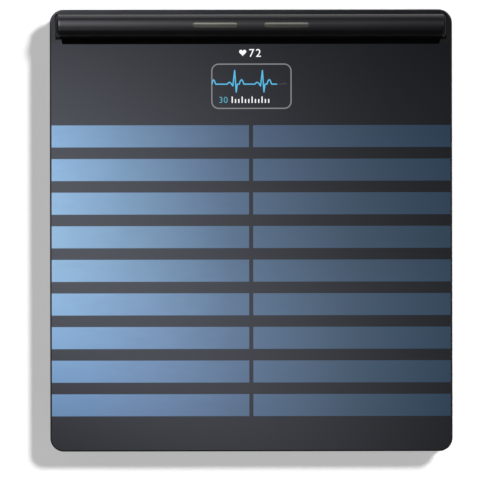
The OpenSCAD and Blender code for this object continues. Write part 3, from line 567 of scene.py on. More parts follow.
@dataclass(frozen=True)
class Tracks(Finish):
    """Flat film cable: copper tracks side by side under amber film.

    Attributes:
        pitch: Distance between two tracks in metres.
        edge: Where a track's edge starts and ends on the wave.
        copper: Height of the tracks in metres.
    """

    contrast: Span = (0.75, 1.5)
    pitch: float = 0.0007
    edge: Span = (-0.15, 0.15)
    copper: float = 0.00002

    def paint(self, graph: Graph, shader: bpy.types.Node) -> None:
        """Stripes along the cable, lighter and glossier over the copper.

        Args:
            graph: The material's tree.
            shader: Its Principled node.
        """
        turns = graph.math("MULTIPLY", graph.axes(graph.coords())[0], math.tau / self.pitch)
        track = graph.between(graph.math("SINE", turns), 0.0, 1.0, *self.edge, smooth=True)
        graph.feed(shader, Base_Color=self.tone(graph, track, WHOLE),
                   Roughness=self.wander(graph, track, (1.0, 0.0)),
                   Normal=graph.bump(track, self.copper))


@dataclass(frozen=True)
class Wrap(Finish):
    """Laminate pouch with soft creases.

    Attributes:
        creases: Creases per metre.
        width: Width of a crease as a share of the distance between two.
        depth: Depth of a crease in metres.
        patches: Darker and lighter patches per metre.
    """

    contrast: Span = (0.8, 1.2)
    creases: float = 70.0
    width: float = 0.16
    depth: float = 0.00012
    patches: float = 40.0

    def paint(self, graph: Graph, shader: bpy.types.Node) -> None:
        """Creased foil with darker and lighter patches.

        Args:
            graph: The material's tree.
            shader: Its Principled node.
        """
        where = graph.coords()
        cells = graph.node("TexVoronoi", feature="DISTANCE_TO_EDGE")
        graph.feed(cells, Vector=where, Scale=self.creases)
        fold = graph.between(cells.outputs["Distance"], 1.0, 0.0, 0.0, self.width, smooth=True)
        cloud = graph.noise(where, self.patches, detail=3.0)
        graph.feed(shader, Base_Color=self.tone(graph, cloud), Roughness=self.wander(graph, cloud),
                   Normal=graph.bump(fold, self.depth))


@dataclass(frozen=True)
class Braid(Finish):
    """Fine braided sleeve, drawn by two crossing sets of strands.

    Attributes:
        pick: Length of one crossing along the cord in metres.
        depth: Height of a strand in metres.
    """

    contrast: Span = (0.5, 1.8)
    pick: float = 0.0011
    depth: float = 0.00014

    def paint(self, graph: Graph, shader: bpy.types.Node) -> None:
        """Crossing strands in tone and height.

        Args:
            graph: The material's tree.
            shader: Its Principled node.
        """
        turns = math.tau / self.pick
        x, y, z = graph.axes(graph.coords())
        flat, across, rise = (
            graph.math("MULTIPLY", value, turns)
            for value in (graph.math("ADD", x, y), graph.math("SUBTRACT", x, y), z)
        )
        one = graph.math("SINE", graph.math("ADD", rise, flat))
        two = graph.math("SINE", graph.math("SUBTRACT", rise, across))
        weave = graph.between(graph.math("MULTIPLY", one, two), 0.0, 1.0, -1.0, 1.0)
        graph.feed(shader, Base_Color=self.tone(graph, weave, (0.2, 0.8)),
                   Roughness=self.wander(graph, weave, (1.0, 0.0)),
                   Normal=graph.bump(weave, self.depth))


@dataclass(frozen=True)
class Lit(Finish):
    """Lit figure of the screen, seen in the glass and with the glass's gloss.

    Attributes:
        glow: Strength of its light.
        lines: Lines of picture cells, as the wave's scale.
        unlit: Colour of the glass over the figure.
    """

    roughness: float = 0.035
    contrast: Span = (0.9, 1.0)
    glow: float = 1.0
    lines: float = 1600.0
    unlit: Colour = (0.01, 0.01, 0.012)

    def paint(self, graph: Graph, shader: bpy.types.Node) -> None:
        """Light in fine lines of picture cells.

        Args:
            graph: The material's tree.
            shader: Its Principled node.
        """
        cells = graph.node("TexWave", bands_direction="Y", wave_profile="SIN")
        graph.feed(cells, Vector=graph.coords(), Scale=self.lines)
        graph.feed(shader, Base_Color=self.unlit, Roughness=self.roughness,
                   Emission_Color=self.tone(graph, cells.outputs["Fac"], (0.0, 0.5)),
                   Emission_Strength=self.glow)


SLOTS: dict[str, Finish] = {
    "platform_glass": Gloss("black_glass", (0.003, 0.003, 0.0036), 0.035, spread=0.012,
                            wipe=8.0, mirror=0.75, tint=(0.79, 0.845, 1.0)),
    "electrode_film": Film("blue_coating", (0.101, 0.156, 0.237), 0.06,
                           metallic=1.0, spread=0.012),
    "dock_black": Gloss("gloss_black_moulding", (0.0052, 0.0056, 0.0066), 0.06, spread=0.02,
                        wipe=30.0, mirror=0.66, tint=(0.86, 0.9, 1.0)),
    "base_black": Moulded("matte_black_moulding", (0.022, 0.022, 0.024), 0.55, spread=0.06,
                          depth=0.00005),
    "plate_steel": Metal("zinc_plated_sheet", (0.5, 0.51, 0.53), 0.38, lay=Lay.ALONG_Y,
                         marks=900.0),
    "gasket_grey": Moulded("grey_gasket", (0.09, 0.09, 0.092), 0.88, grain=1500.0, depth=0.0001),
    "screen": Gloss("dark_display", (0.012, 0.013, 0.018), 0.12, wipe=40.0, spread=0.03),
    "frame_steel": Metal("pressed_steel", (0.55, 0.56, 0.58), 0.3),
    "flex_amber": Tracks("amber_flat_cable", (0.42, 0.2, 0.035), 0.28),
    "board_green": Board("green_board", (0.015, 0.13, 0.05), 0.3),
    "parts_dark": Moulded("dark_components", (0.06, 0.06, 0.065), 0.45, grain=1600.0),
    "battery_blue": Wrap("blue_pouch", (0.06, 0.2, 0.46), 0.36, metallic=0.5),
    "inner_black": Moulded("black_inner_moulding", (0.045, 0.045, 0.05), 0.5, grain=2200.0),
    "foam_grey": Moulded("dark_foam", (0.1, 0.1, 0.105), 0.92, grain=900.0, depth=0.0003),
    "socket_steel": Metal("bright_steel", (0.62, 0.63, 0.65), 0.22, marks=1800.0),
    "button_black": Moulded("satin_button", (0.035, 0.035, 0.038), 0.4, grain=3600.0,
                            depth=0.00002),
    "cell_aluminium": Metal("milled_aluminium", (0.72, 0.73, 0.75), 0.32, marks=1500.0),
    "cup_black": Moulded("black_foot_cup", (0.03, 0.03, 0.032), 0.5, grain=2400.0),
    "pad_rubber": Moulded("dark_rubber", (0.035, 0.035, 0.037), 0.82, grain=1800.0,
                          depth=0.00008),
    "screw_zinc": Metal("zinc_plated_screw", (0.58, 0.59, 0.61), 0.3, lay=Lay.EVEN,
                        marks=2400.0),
    "screw_black": Metal("blackened_screw", (0.05, 0.05, 0.055), 0.42, lay=Lay.EVEN,
                         marks=2400.0),
    "lead_grey": Moulded("grey_insulation", (0.42, 0.42, 0.44), 0.5, grain=1500.0,
                         depth=0.00002),
    "drum_white": Moulded("white_acetal", (0.78, 0.78, 0.75), 0.38, grain=1200.0,
                          depth=0.00002),
    "ring_gold": Metal("gold_tracks", (0.78, 0.56, 0.2), 0.24, lay=Lay.EVEN, marks=900.0),
    "spring_steel": Metal("blued_spring_steel", (0.3, 0.33, 0.37), 0.26, lay=Lay.EVEN,
                          marks=1200.0),
    "cord_black": Braid("black_braid", (0.03, 0.03, 0.032), 0.6),
    "handle_black": Satin("satin_black_bar", (0.0042, 0.0042, 0.0048), 0.21, spread=0.02),
    "electrode_steel": Metal("dull_stainless", (0.115, 0.114, 0.102), 0.12, spread=0.03),
}


class Finishes:
    """Finishes beside those of the record's material slots."""

    GROUND = Moulded("ground_glass_edge", (0.003, 0.0033, 0.004), 0.3, grain=5200.0,
                     depth=0.00001, mirror=0.3)
    DOCK_EDGE = Moulded("black_moulding_edge", (0.003, 0.0032, 0.004), 0.32, grain=3800.0,
                        depth=0.00001, mirror=0.3)
    # painted shade: darker and duller than the strip, standing for the shade in the hollow and the
    # opening
    PAINTED_SHADE_HOLLOW = Moulded("painted_shade_hollow", (0.0012, 0.0012, 0.0015), 0.85, grain=2400.0,
                     mirror=0.2)
    THUMB = ContactPlate("thumb_contact", (0.085, 0.084, 0.075), 0.14, spread=0.03)
    WHITE_FIGURE = Lit("white_figures", (1.0, 1.0, 1.02))
    BLUE_FIGURE = Lit("blue_figures", (0.08, 0.5, 0.8))
    TEAL_FIGURE = Lit("teal_figures", (0.08, 0.44, 0.56))
    GREY_FIGURE = Lit("grey_figures", (0.23, 0.23, 0.24))
    DIM_FIGURE = Lit("dim_figures", (0.03, 0.033, 0.042))
    RED_LEAD, WHITE_LEAD, DARK_LEAD = (
        Moulded(name + "_insulation", colour, 0.48, grain=1500.0, depth=0.00002)
        for name, colour in (("red", (0.42, 0.03, 0.025)), ("white", (0.62, 0.61, 0.58)),
                             ("dark", (0.03, 0.03, 0.032)))
    )


THREE_WIRES = (Finishes.RED_LEAD, Finishes.WHITE_LEAD, Finishes.DARK_LEAD)


# Studio


@dataclass
class PhotoCamera:
    """Square-on camera high above the glass.

    Attributes:
        distance: Height above the glass in metres.
        frame_width: Width of the picture's frame at the glass in metres.
        centre: Middle of the picture on the glass.
        roll: Turn about the line of sight in degrees.
        sensor: Sensor width in millimetres.
        clip: Distances at which the view starts and ends.
    """

    distance: float = 10.0
    frame_width: float = 0.38773
    centre: Place = (-0.00901, -0.00769)
    roll: float = -0.09
    sensor: float = 36.0
    clip: Span = (0.1, 100.0)

    def build(self, top: float) -> None:
        """Makes the camera and sets it as the scene's.

        Args:
            top: Height of the glass.
        """
        data = bpy.data.cameras.new("photo_camera")
        data.sensor_width = self.sensor
        data.lens = self.sensor * self.distance / self.frame_width
        data.clip_start, data.clip_end = self.clip
        camera = placed("photo_camera", data)
        camera.location = (*self.centre, top + self.distance)
        camera.rotation_euler = (0.0, 0.0, math.radians(self.roll))
        bpy.context.scene.camera = camera


@dataclass(frozen=True)
class BarBox:
    """Soft box that the round bar mirrors as a long band.

    Attributes:
        name: The lamp's name.
        lean: Its angle from overhead towards the back in degrees.
        depth: Its size across the bar.
        middle: Brightness along its middle line.
        edge: Brightness at its long edges.
        reach: Distance in Y from the middle line to where the edge's brightness starts.
        away: Its distance from the bar.
        width: Its size along the bar.
        slope: Fall from left to right for each metre.
        brightest: Limit of the fall's factor at the left.
    """

    name: str
    lean: float
    depth: float
    middle: float
    edge: float
    reach: float
    away: float = 2.5
    width: float = 2.4
    slope: float = 3.0
    brightest: float = 6.0


@dataclass
class Studio:
    """Pale floor, soft sky, a key light and soft boxes over the scale.

    Attributes:
        floor_half: Half of the floor's width.
        floor_tone: Reflectance of the floor.
        floor_lift: Light added to the floor where the camera or a mirror sees it.
        key: Irradiance of the key light in watts per square metre.
        key_angle: Width of the key light in degrees.
        key_from: Direction that the key light comes from.
        zenith: Brightness of the sky overhead.
        horizon: Brightness of the sky at the horizon.
        sky_rise: Z of the directions at which the sky starts to dim and is dim.
        flag: Brightness of the sky behind the black flag in front of the scale.
        flag_side: X of the directions at which the flag starts to thin and ends.
        flag_depth: Y of the directions at which the flag starts to thin and ends.
        over_height: Height of the overhead box above the glass.
        over_span: Width of the overhead box's mirror image on the glass.
        over_fall: Natural logarithm of the overhead box's brightness, as terms of the power of X,
            the power of Y and a factor, in metres on the glass.
        bar_boxes: The boxes that the bar mirrors.
    """

    floor_half: float = 30.0
    floor_tone: float = 0.86
    floor_lift: float = 0.4
    key: float = 2.6
    key_angle: float = 8.0
    key_from: Point = (17.6, 14.6, 27.0)
    zenith: float = 0.02
    horizon: float = 0.42
    sky_rise: Span = (0.1, 0.85)
    flag: float = 0.06
    flag_side: Span = (0.16, 0.4)
    flag_depth: Span = (-0.2, 0.1)
    over_height: float = 3.0
    over_span: float = 0.46
    over_fall: Terms = (
        (0, 0, 0.0234), (0, 1, -2.191), (0, 2, -15.53), (0, 3, 12.62), (0, 4, -242.2),
        (1, 0, -6.322), (1, 1, -8.233), (1, 2, 67.18), (1, 3, -238.9), (2, 0, -13.99),
        (2, 1, 81.33), (2, 2, -299.1), (3, 0, 18.27), (3, 1, 69.31), (4, 0, 46.54),
    )
    bar_boxes: tuple[BarBox, ...] = (
        BarBox("back_box", lean=32.5, depth=3.0, middle=1.35, edge=0.3, reach=1.37),
        BarBox("front_box", lean=-20.0, depth=1.4, middle=0.34, edge=0.08, reach=0.64),
    )

    def build(self, camera: PhotoCamera, top: float) -> None:
        """Makes the floor, the sky and the lamps.

        Args:
            camera: The photograph's camera, which the overhead box is mirrored from.
            top: Height of the glass.
        """
        bpy.context.scene.view_settings.view_transform = "Standard"
        self.make_floor()
        self.make_sky()
        self.make_key()
        self.make_overhead(camera, top)
        for box in self.bar_boxes:
            self.make_bar_box(box)

    def make_floor(self) -> None:
        """White floor that keeps the shadow and shows white in mirrors as well."""
        half = self.floor_half
        corners = at_height(((-half, -half), (half, -half), (half, half), (-half, half)), 0.0)
        floor = new_object("studio_floor", corners, [(0, 1, 2, 3)])
        material = bpy.data.materials.new("studio_floor")
        material.use_nodes = True
        graph = Graph(material.node_tree)
        paper = graph.feed(graph.node("BsdfDiffuse"), Color=(self.floor_tone,) * 3)
        path = graph.node("LightPath").outputs
        seen = graph.math("MAXIMUM", path["Is Camera Ray"], path["Is Glossy Ray"])
        seen = graph.math("MAXIMUM", seen, path["Is Transmission Ray"])
        level = graph.math("MULTIPLY", seen, self.floor_lift)
        lift = graph.feed(graph.node("Emission"), Strength=level)
        both = graph.node("AddShader")
        for socket, source in zip(both.inputs, (paper, lift)):
            graph.put(socket, source.outputs[0])
        graph.show("OutputMaterial", both.outputs[0])
        floor.data.materials.append(material)

    def make_sky(self) -> None:
        """Sky that is pale at the horizon and dim overhead, with a narrow dark flag in front."""
        world = bpy.data.worlds.new("studio_sky")
        bpy.context.scene.world = world
        world.use_nodes = True
        graph = Graph(world.node_tree)
        x, y, z = graph.axes(graph.node("TexCoord").outputs["Generated"])
        height = graph.between(z, self.horizon, self.zenith, *self.sky_rise, smooth=True)
        aside = graph.between(graph.math("ABSOLUTE", x), 0.0, 1.0, *self.flag_side)
        clear = graph.math("MAXIMUM", aside, graph.between(y, 0.0, 1.0, *self.flag_depth))
        over = graph.math("MULTIPLY", graph.math("SUBTRACT", height, self.flag), clear)
        level = graph.math("ADD", over, self.flag)
        sky = graph.feed(graph.node("Background"), Color=(1.0, 1.0, 1.0), Strength=level)
        graph.show("OutputWorld", sky.outputs[0])

    def make_key(self) -> None:
        """Key light from the back right, which gives the shadow at the left and in front."""
        data = bpy.data.lights.new("key_light", "SUN")
        data.energy = self.key
        data.angle = math.radians(self.key_angle)
        lamp = placed("key_light", data)
        lamp.rotation_euler = Vector(self.key_from).to_track_quat("Z", "Y").to_euler()

    def soft_box(self, name: str, place: Vector, aim: Vector, size: Span, level: Fall) -> None:
        """A rectangular soft box with its own fall-off, which only mirrors show.

        Args:
            name: The lamp's name.
            place: Its middle.
            aim: The point that it faces.
            size: Width along X and depth.
            level: Makes the brightness from world X and Y.
        """
        data = bpy.data.lights.new(name, "AREA")
        data.shape = "RECTANGLE"
        data.size, data.size_y = size
        # an emission strength of 1 then means a radiance of 1
        data.energy = math.pi * size[0] * size[1]
        data.use_nodes = True
        graph = Graph(data.node_tree)
        x, y, _ = graph.axes(graph.node("NewGeometry").outputs["Position"])
        glow = graph.feed(graph.node("Emission"), Strength=level(graph, x, y))
        graph.show("OutputLight", glow.outputs[0])
        lamp = placed(name, data)
        lamp.location = place
        lamp.rotation_euler = (place - aim).to_track_quat("Z", "Y").to_euler()
        lamp.visible_camera = False
        lamp.visible_diffuse = False

    def make_overhead(self, camera: PhotoCamera, top: float) -> None:
        """High box that the flat glass mirrors: bright at the left, dim at the right.

        Args:
            camera: The photograph's camera.
            top: Height of the glass.
        """
        reach = self.over_height / camera.distance

        def on_glass(graph: Graph, value: Socket, middle: float) -> Socket:
            """The place on the glass that shows a place on the box."""
            return graph.math("DIVIDE", graph.math("ADD", value, middle * reach), 1.0 + reach)

        def level(graph: Graph, x: Socket, y: Socket) -> Socket:
            """Falls to the right, to the back and to the near left corner.

            Args:
                graph: The lamp's tree.
                x: World X of the place on the box.
                y: World Y of it.

            Returns:
                The brightness.
            """
            right, back = (on_glass(graph, *pair) for pair in zip((x, y), camera.centre))
            total: Socket | float = 0.0
            for along, across, factor in self.over_fall:
                term: Socket | float = factor
                for spot in (right,) * along + (back,) * across:
                    term = graph.math("MULTIPLY", spot, term)
                total = graph.math("ADD", term, total)
            return graph.math("POWER", math.e, total)

        middle = Vector((*(-c * reach for c in camera.centre), top + self.over_height))
        below = Vector((middle.x, middle.y, top))
        self.soft_box("overhead_box", middle, below, (self.over_span * (1.0 + reach),) * 2, level)

    def make_bar_box(self, box: BarBox) -> None:
        """Hangs one of the bar's boxes.

        Args:
            box: The box.
        """
        low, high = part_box("handle_upper_shell")
        bar = (low + high) / 2
        tilt = math.radians(box.lean)
        place = bar + Vector((0.0, math.sin(tilt), math.cos(tilt))) * box.away

        def level(graph: Graph, x: Socket, y: Socket) -> Socket:
            """Falls to the right, and from a bright middle to both long edges.

            Args:
                graph: The lamp's tree.
                x: World X of the place on the box.
                y: World Y of it.

            Returns:
                The brightness.
            """
            side = graph.math("POWER", math.e, graph.math("MULTIPLY", x, -box.slope))
            off = graph.math("ABSOLUTE", graph.math("SUBTRACT", y, place.y))
            band = graph.between(off, box.middle, box.edge, 0.0, box.reach)
            return graph.math("MULTIPLY", graph.math("MINIMUM", side, box.brightest), band)

        self.soft_box(box.name, place, bar, (box.width, box.depth), level)


# Mesh building


def placed(name: str, data: bpy.types.ID) -> bpy.types.Object:
    """Makes an object and links it to the scene.

    Args:
        name: The object's name.
        data: Its mesh, curve, lamp or camera.

    Returns:
        The object.
    """
    made = bpy.data.objects.new(name, data)
    bpy.context.scene.collection.objects.link(made)
    return made


def baked(piece: bpy.types.Object) -> bpy.types.Mesh:
    """The mesh of a piece with all its changes in it.

    Args:
        piece: The piece, or a drawn curve or text.

    Returns:
        A new mesh.
    """
    bpy.context.view_layer.update()
    ready = piece.evaluated_get(bpy.context.evaluated_depsgraph_get())
    return bpy.data.meshes.new_from_object(ready)


def new_object(name: str, points: Sequence[Vector], faces: Iterable[Sequence[int]],
               crease: float = CREASE) -> bpy.types.Object:
    """Makes a mesh object with smooth faces, and sharp edges at turns and round caps.

    Args:
        name: The object's name.
        points: Its vertices in metres.
        faces: Its faces as vertex numbers. One of more than four corners is a cap.
        crease: Angle in degrees over which an edge is sharp.

    Returns:
        The object, linked to the scene.
    """
    mesh = bpy.data.meshes.new(name)
    mesh.from_pydata([tuple(p) for p in points], [], [tuple(f) for f in faces])
    shape = bmesh.new()
    shape.from_mesh(mesh)
    bmesh.ops.recalc_face_normals(shape, faces=shape.faces)
    for face in shape.faces:
        face.smooth = True
    for edge in shape.edges:
        cap = any(len(face.verts) > 4 for face in edge.link_faces)
        edge.smooth = edge.calc_face_angle(0.0) < math.radians(crease) and not cap
    shape.to_mesh(mesh)
    shape.free()
    return placed(name, mesh)


class Side(Enum):
    """A side that stays where it is when an outline is drawn in."""

    NEAR = "near"
    FAR = "far"
    NONE = "none"


def plan(low: Place, high: Place, radii: Sequence[float], inset: float = 0.0,
         steps: int = 12, held: Side = Side.NONE) -> list[Place]:
    """Rectangle with four round corners, counter-clockwise from the near left one.

    Args:
        low: Near left corner.
        high: Far right corner.
        radii: Corner radii: near left, near right, far right and far left.
        inset: Distance that the whole outline is drawn in.
        steps: Segments of a corner.
        held: A side that isn't drawn in.

    Returns:
        The outline's points.
    """
    sharpest = 0.02 * MM
    x_low, x_high = low[0] + inset, high[0] - inset
    y_low = low[1] + (0.0 if held is Side.NEAR else inset)
    y_high = high[1] - (0.0 if held is Side.FAR else inset)
    corners = ((x_low, y_low), (x_high, y_low), (x_high, y_high), (x_low, y_high))
    points = []
    for turn, (x, y) in enumerate(corners):
        radius = max(radii[turn] - inset, sharpest)
        middle_x = x + radius if turn in (0, 3) else x - radius
        middle_y = y + radius if turn in (0, 1) else y - radius
        for step in range(steps + 1):
            angle = math.radians(180.0 + 90.0 * turn + 90.0 * step / steps)
            points.append((middle_x + radius * math.cos(angle),
                           middle_y + radius * math.sin(angle)))
    return points


def at_height(outline: Iterable[Place], height: float) -> Ring:
    """Puts a flat outline at a height."""
    return [Vector((x, y, height)) for x, y in outline]


def rounded_rim(low: Place, high: Vector, radii: Sequence[float], rim: float,
                held: Side) -> list[Ring]:
    """Rings of a plate's upper edge, which is rounded off.

    Args:
        low: The plate's near left corner.
        high: Its far right corner, at the height of its face.
        radii: Its corner radii.
        rim: Radius of the rounding.
        held: The side that isn't rounded.

    Returns:
        The rings from the side up to the face.
    """
    rings = []
    for step in range(RIM_STEPS + 1):
        angle = math.radians(90.0 * step / RIM_STEPS)
        inset, height = rim * (1 - math.cos(angle)), high.z - rim * (1 - math.sin(angle))
        rings.append(at_height(plan(low, high.xy, radii, inset, CORNER_STEPS, held), height))
    return rings


def loft(name: str, rings: Sequence[Ring], crease: float = CREASE) -> bpy.types.Object:
    """Skin through rings of as many points each, with both ends closed.

    Args:
        name: The object's name.
        rings: The rings in order.
        crease: Angle in degrees over which an edge is sharp.

    Returns:
        The piece.
    """
    count = len(rings[0])
    last = (len(rings) - 1) * count
    faces: list[tuple[int, ...]] = []
    for low in range(0, last, count):
        for one in range(count):
            two = (one + 1) % count
            faces.append((low + one, low + two, low + count + two, low + count + one))
    faces += [tuple(range(count)), tuple(range(last, last + count))]
    return new_object(name, [point for ring in rings for point in ring], faces, crease)


def lathe(name: str, profile: Sequence[Place], middle: Place, segments: int) -> bpy.types.Object:
    """Round piece about an upright axis.

    Args:
        name: The object's name.
        profile: Radius and height of each ring in metres.
        middle: The axis in plan.
        segments: Points of a ring.

    Returns:
        The piece.
    """
    turns = [math.tau * step / segments for step in range(segments)]
    return loft(name, [
        at_height(((middle[0] + radius * math.cos(a), middle[1] + radius * math.sin(a))
                   for a in turns), height)
        for radius, height in profile
    ])


def eased(points: Sequence[Vector], reach: float, steps: int = 6) -> list[Vector]:
    """Path whose corners are rounded off.

    Args:
        points: The path's corners.
        reach: Distance before and after a corner at which it starts to turn.
        steps: Segments of a corner.

    Returns:
        The finer path.
    """
    path = [points[0]]
    for before, corner, after in zip(points, points[1:], points[2:]):
        legs = (before - corner, after - corner)
        start, end = (corner + leg.normalized() * min(reach, leg.length / 2) for leg in legs)
        for step in range(steps + 1):
            t = step / steps
            path.append(start * (1 - t) ** 2 + corner * (2 * t * (1 - t)) + end * t * t)
    return path + [points[-1]]


def evened(points: Sequence[Vector], step: float) -> list[Vector]:
    """Points at even distances along a path, with both of its ends.

    Args:
        points: The path.
        step: Wanted distance.

    Returns:
        The evened path.
    """
    lengths = [0.0]
    for one, two in zip(points, points[1:]):
        lengths.append(lengths[-1] + (two - one).length)
    count = max(2, round(lengths[-1] / step))
    path, leg = [], 0
    for number in range(count + 1):
        want = lengths[-1] * number / count
        while leg < len(points) - 2 and lengths[leg + 1] < want:
            leg += 1
        span = max(lengths[leg + 1] - lengths[leg], 1e-9)
        path.append(points[leg].lerp(points[leg + 1], min(1.0, (want - lengths[leg]) / span)))
    return path


def heading(path: Sequence[Vector], number: int) -> Vector:
    """The direction of a path at one of its points."""
    return (path[min(number + 1, len(path) - 1)] - path[max(number - 1, 0)]).normalized()


def framed(path: Sequence[Vector]) -> list[tuple[Vector, Vector, Vector]]:
    """Finds directions across a path that turn as little as they can.

    Args:
        path: The path.

    Returns:
        Each point with two directions across the path.
    """
    frames = []
    side = None
    for number, point in enumerate(path):
        ahead = heading(path, number)
        side = side or ahead.orthogonal()
        side = (side - ahead * side.dot(ahead)).normalized()
        frames.append((point, side, ahead.cross(side)))
    return frames


def tube_rings(path: Sequence[Vector], radius: float, sides: int) -> list[Ring]:
    """Rings of a round tube along a path.

    Args:
        path: Its middle line.
        radius: Its radius.
        sides: Points of a ring.

    Returns:
        The rings.
    """
    turns = [math.tau * step / sides for step in range(sides)]
    return [[point + (side * math.cos(a) + up * math.sin(a)) * radius for a in turns]
            for point, side, up in framed(path)]


def joined(name: str, pieces: Sequence[bpy.types.Object]) -> bpy.types.Object:
    """One piece out of several, each with its own finishes.

    Args:
        name: The new name.
        pieces: The pieces, which must be in place. They are removed.

    Returns:
        The new piece.
    """
    shape = bmesh.new()
    finishes: list[bpy.types.Material] = []
    for piece in pieces:
        start = len(shape.faces)
        shape.from_mesh(piece.data)
        shape.faces.ensure_lookup_table()
        for face in shape.faces[start:]:
            face.material_index += len(finishes)
        finishes += list(piece.data.materials)
    mesh = bpy.data.meshes.new(name)
    shape.to_mesh(mesh)
    shape.free()
    for finish in finishes:
        mesh.materials.append(finish)
    for piece in pieces:
        bpy.data.objects.remove(piece)
    return placed(name, mesh)


def finished(piece: bpy.types.Object, *finishes: Finish,
             pick: Callable[[bpy.types.MeshPolygon], int] | None = None) -> bpy.types.Object:
    """Gives a piece its finishes in the place of those that it has.

    Args:
        piece: The piece.
        finishes: One finish or more.
        pick: Tells which finish a face takes.

    Returns:
        The same piece.
    """
    piece.data.materials.clear()
    for finish in finishes:
        piece.data.materials.append(finish.material())
    for face in piece.data.polygons if pick else ():
        face.material_index = pick(face)
    return piece


def flat_shape(name: str, outlines: Sequence[Sequence[Place]], low: float, high: float,
               edge: float = 0.12) -> bpy.types.Object:
    """Flat piece with outlines and holes, with its edges a little rounded.

    Args:
        name: The object's name.
        outlines: Closed outlines; one inside another is a hole.
        low: Lower face.
        high: Upper face.
        edge: Radius of the rounded edges as a share of the thickness.

    Returns:
        The piece.
    """
    soft = (high - low) * edge
    drawn = bpy.data.curves.new(name, "CURVE")
    drawn.dimensions = "2D"
    drawn.fill_mode = "BOTH"
    drawn.extrude = (high - low) / 2 - soft
    drawn.bevel_depth = soft
    drawn.bevel_resolution = 2
    drawn.offset = -soft
    for outline in outlines:
        line = drawn.splines.new("POLY")
        line.points.add(len(outline) - 1)
        for point, (x, y) in zip(line.points, outline):
            point.co = (x, y, 0.0, 1.0)
        line.use_cyclic_u = True
    return as_mesh(name, drawn, Vector((0.0, 0.0, (low + high) / 2)))


def as_mesh(name: str, drawn: bpy.types.Curve, place: Vector) -> bpy.types.Object:
    """Turns a drawn curve or text into a mesh piece.

    Args:
        name: The object's name.
        drawn: The curve data.
        place: Where its origin goes.

    Returns:
        The mesh piece, with its place in its points.
    """
    source = placed(name + "_drawn", drawn)
    mesh = baked(source)
    mesh.name = name
    mesh.transform(Matrix.Translation(place))
    mesh.materials.clear()
    bpy.data.objects.remove(source)
    bpy.data.curves.remove(drawn)
    return placed(name, mesh)


def ribbon(points: Sequence[Place], width: float, step: float) -> list[Place]:
    """Outline of a line of even width with round joints, through points that run along X.

    Args:
        points: The line's points.
        width: Its width.
        step: Distance between the outline's points along X.

    Returns:
        The closed outline.
    """
    radius = width / 2
    first, last = points[0][0], points[-1][0]
    near_end, grow = 1e-9, 1e-6

    def line(x: float) -> float:
        """Height of the line.

        Args:
            x: Where.

        Returns:
            The height.
        """
        for (x_one, y_one), (x_two, y_two) in zip(points, points[1:]):
            if x <= x_two:
                return y_one + (y_two - y_one) * (x - x_one) / (x_two - x_one)
        return points[-1][1]

    probes = [radius * number / 8 for number in range(-8, 9)]
    count = round((last - first + width) / step)
    above, below = [], []
    for number in range(count + 1):
        x = first - radius + (last - first + width) * number / count
        near = [(line(x + probe), math.sqrt(radius ** 2 - probe ** 2)) for probe in probes
                if first - near_end <= x + probe <= last + near_end]
        if near:
            above.append((x, max(height + half for height, half in near) + grow))
            below.append((x, min(height - half for height, half in near) - grow))
    return above + below[::-1]


def cut(piece: bpy.types.Object, *tools: bpy.types.Object, union: bool = False) -> None:
    """Cuts pieces out of a piece, or adds them to it, for good.

    Args:
        piece: The piece.
        tools: The pieces that are cut out or added, which are then removed.
        union: Whether they are added.
    """
    for tool in tools:
        change = piece.modifiers.new(tool.name, "BOOLEAN")
        change.object = tool
        change.operation = "UNION" if union else "DIFFERENCE"
        change.solver = "EXACT"
    mesh = baked(piece)
    piece.modifiers.clear()
    piece.data = mesh
    for tool in tools:
        bpy.data.objects.remove(tool)


def mm(*values: float) -> Vector:
    """A point given in millimetres."""
    return Vector(values) * MM


def in_mm(points: Iterable[Place]) -> list[Place]:
    """Places given in millimetres."""
    return [(x * MM, y * MM) for x, y in points]


# Sub-assemblies


class Body(Enum):
    """Bodies that pieces ride on."""

    BASE = "base"
    HANDLE = "handle"


def settle(piece: bpy.types.Object, body: Body, slot: str, *nodes: str) -> bpy.types.Object:
    """Puts a piece on its body, in its slot's finish if it has none yet, and reports it.

    Args:
        piece: The piece, in place.
        body: The body that it rides on.
        slot: The record's material slot that it belongs to.
        nodes: The solids that it stands for.

    Returns:
        The same piece.
    """
    if not piece.data.materials:
        finished(piece, SLOTS[slot])
    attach(piece, body.value)
    if nodes:
        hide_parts(*nodes)
    LOG.info("%s: %d faces, on the %s", piece.name, len(piece.data.polygons), body.value)
    return piece


@dataclass
class GlassTop:
    """Black glass plate with a ground, rounded rim.

    Attributes:
        corner: Radius of the two near corners.
        rim: Radius of the rounded upper edge.
        arris: Size of the lower edge's chamfer.
        skin: Depth under the top in which a face counts as the top face.
    """

    corner: float = 11.0 * MM
    rim: float = 1.15 * MM
    arris: float = 0.4 * MM
    skin: float = 0.1 * MM

    def build(self) -> None:
        """Makes the plate in the room of its solid."""
        low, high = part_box("glass_platform")
        radii = (self.corner, self.corner, 0.0, 0.0)
        rings = [
            at_height(plan(low.xy, high.xy, radii, inset, CORNER_STEPS, Side.FAR), height)
            for inset, height in ((self.arris, low.z), (0.0, low.z + self.arris))
        ] + rounded_rim(low.xy, high, radii, self.rim, Side.FAR)
        bottom = high.z - self.skin
        plate = finished(
            loft("glass_top", rings), SLOTS["platform_glass"], Finishes.GROUND,
            pick=lambda face: 0 if len(face.vertices) > 4 and face.center.z > bottom else 1,
        )
        settle(plate, Body.BASE, "platform_glass", "glass_platform")


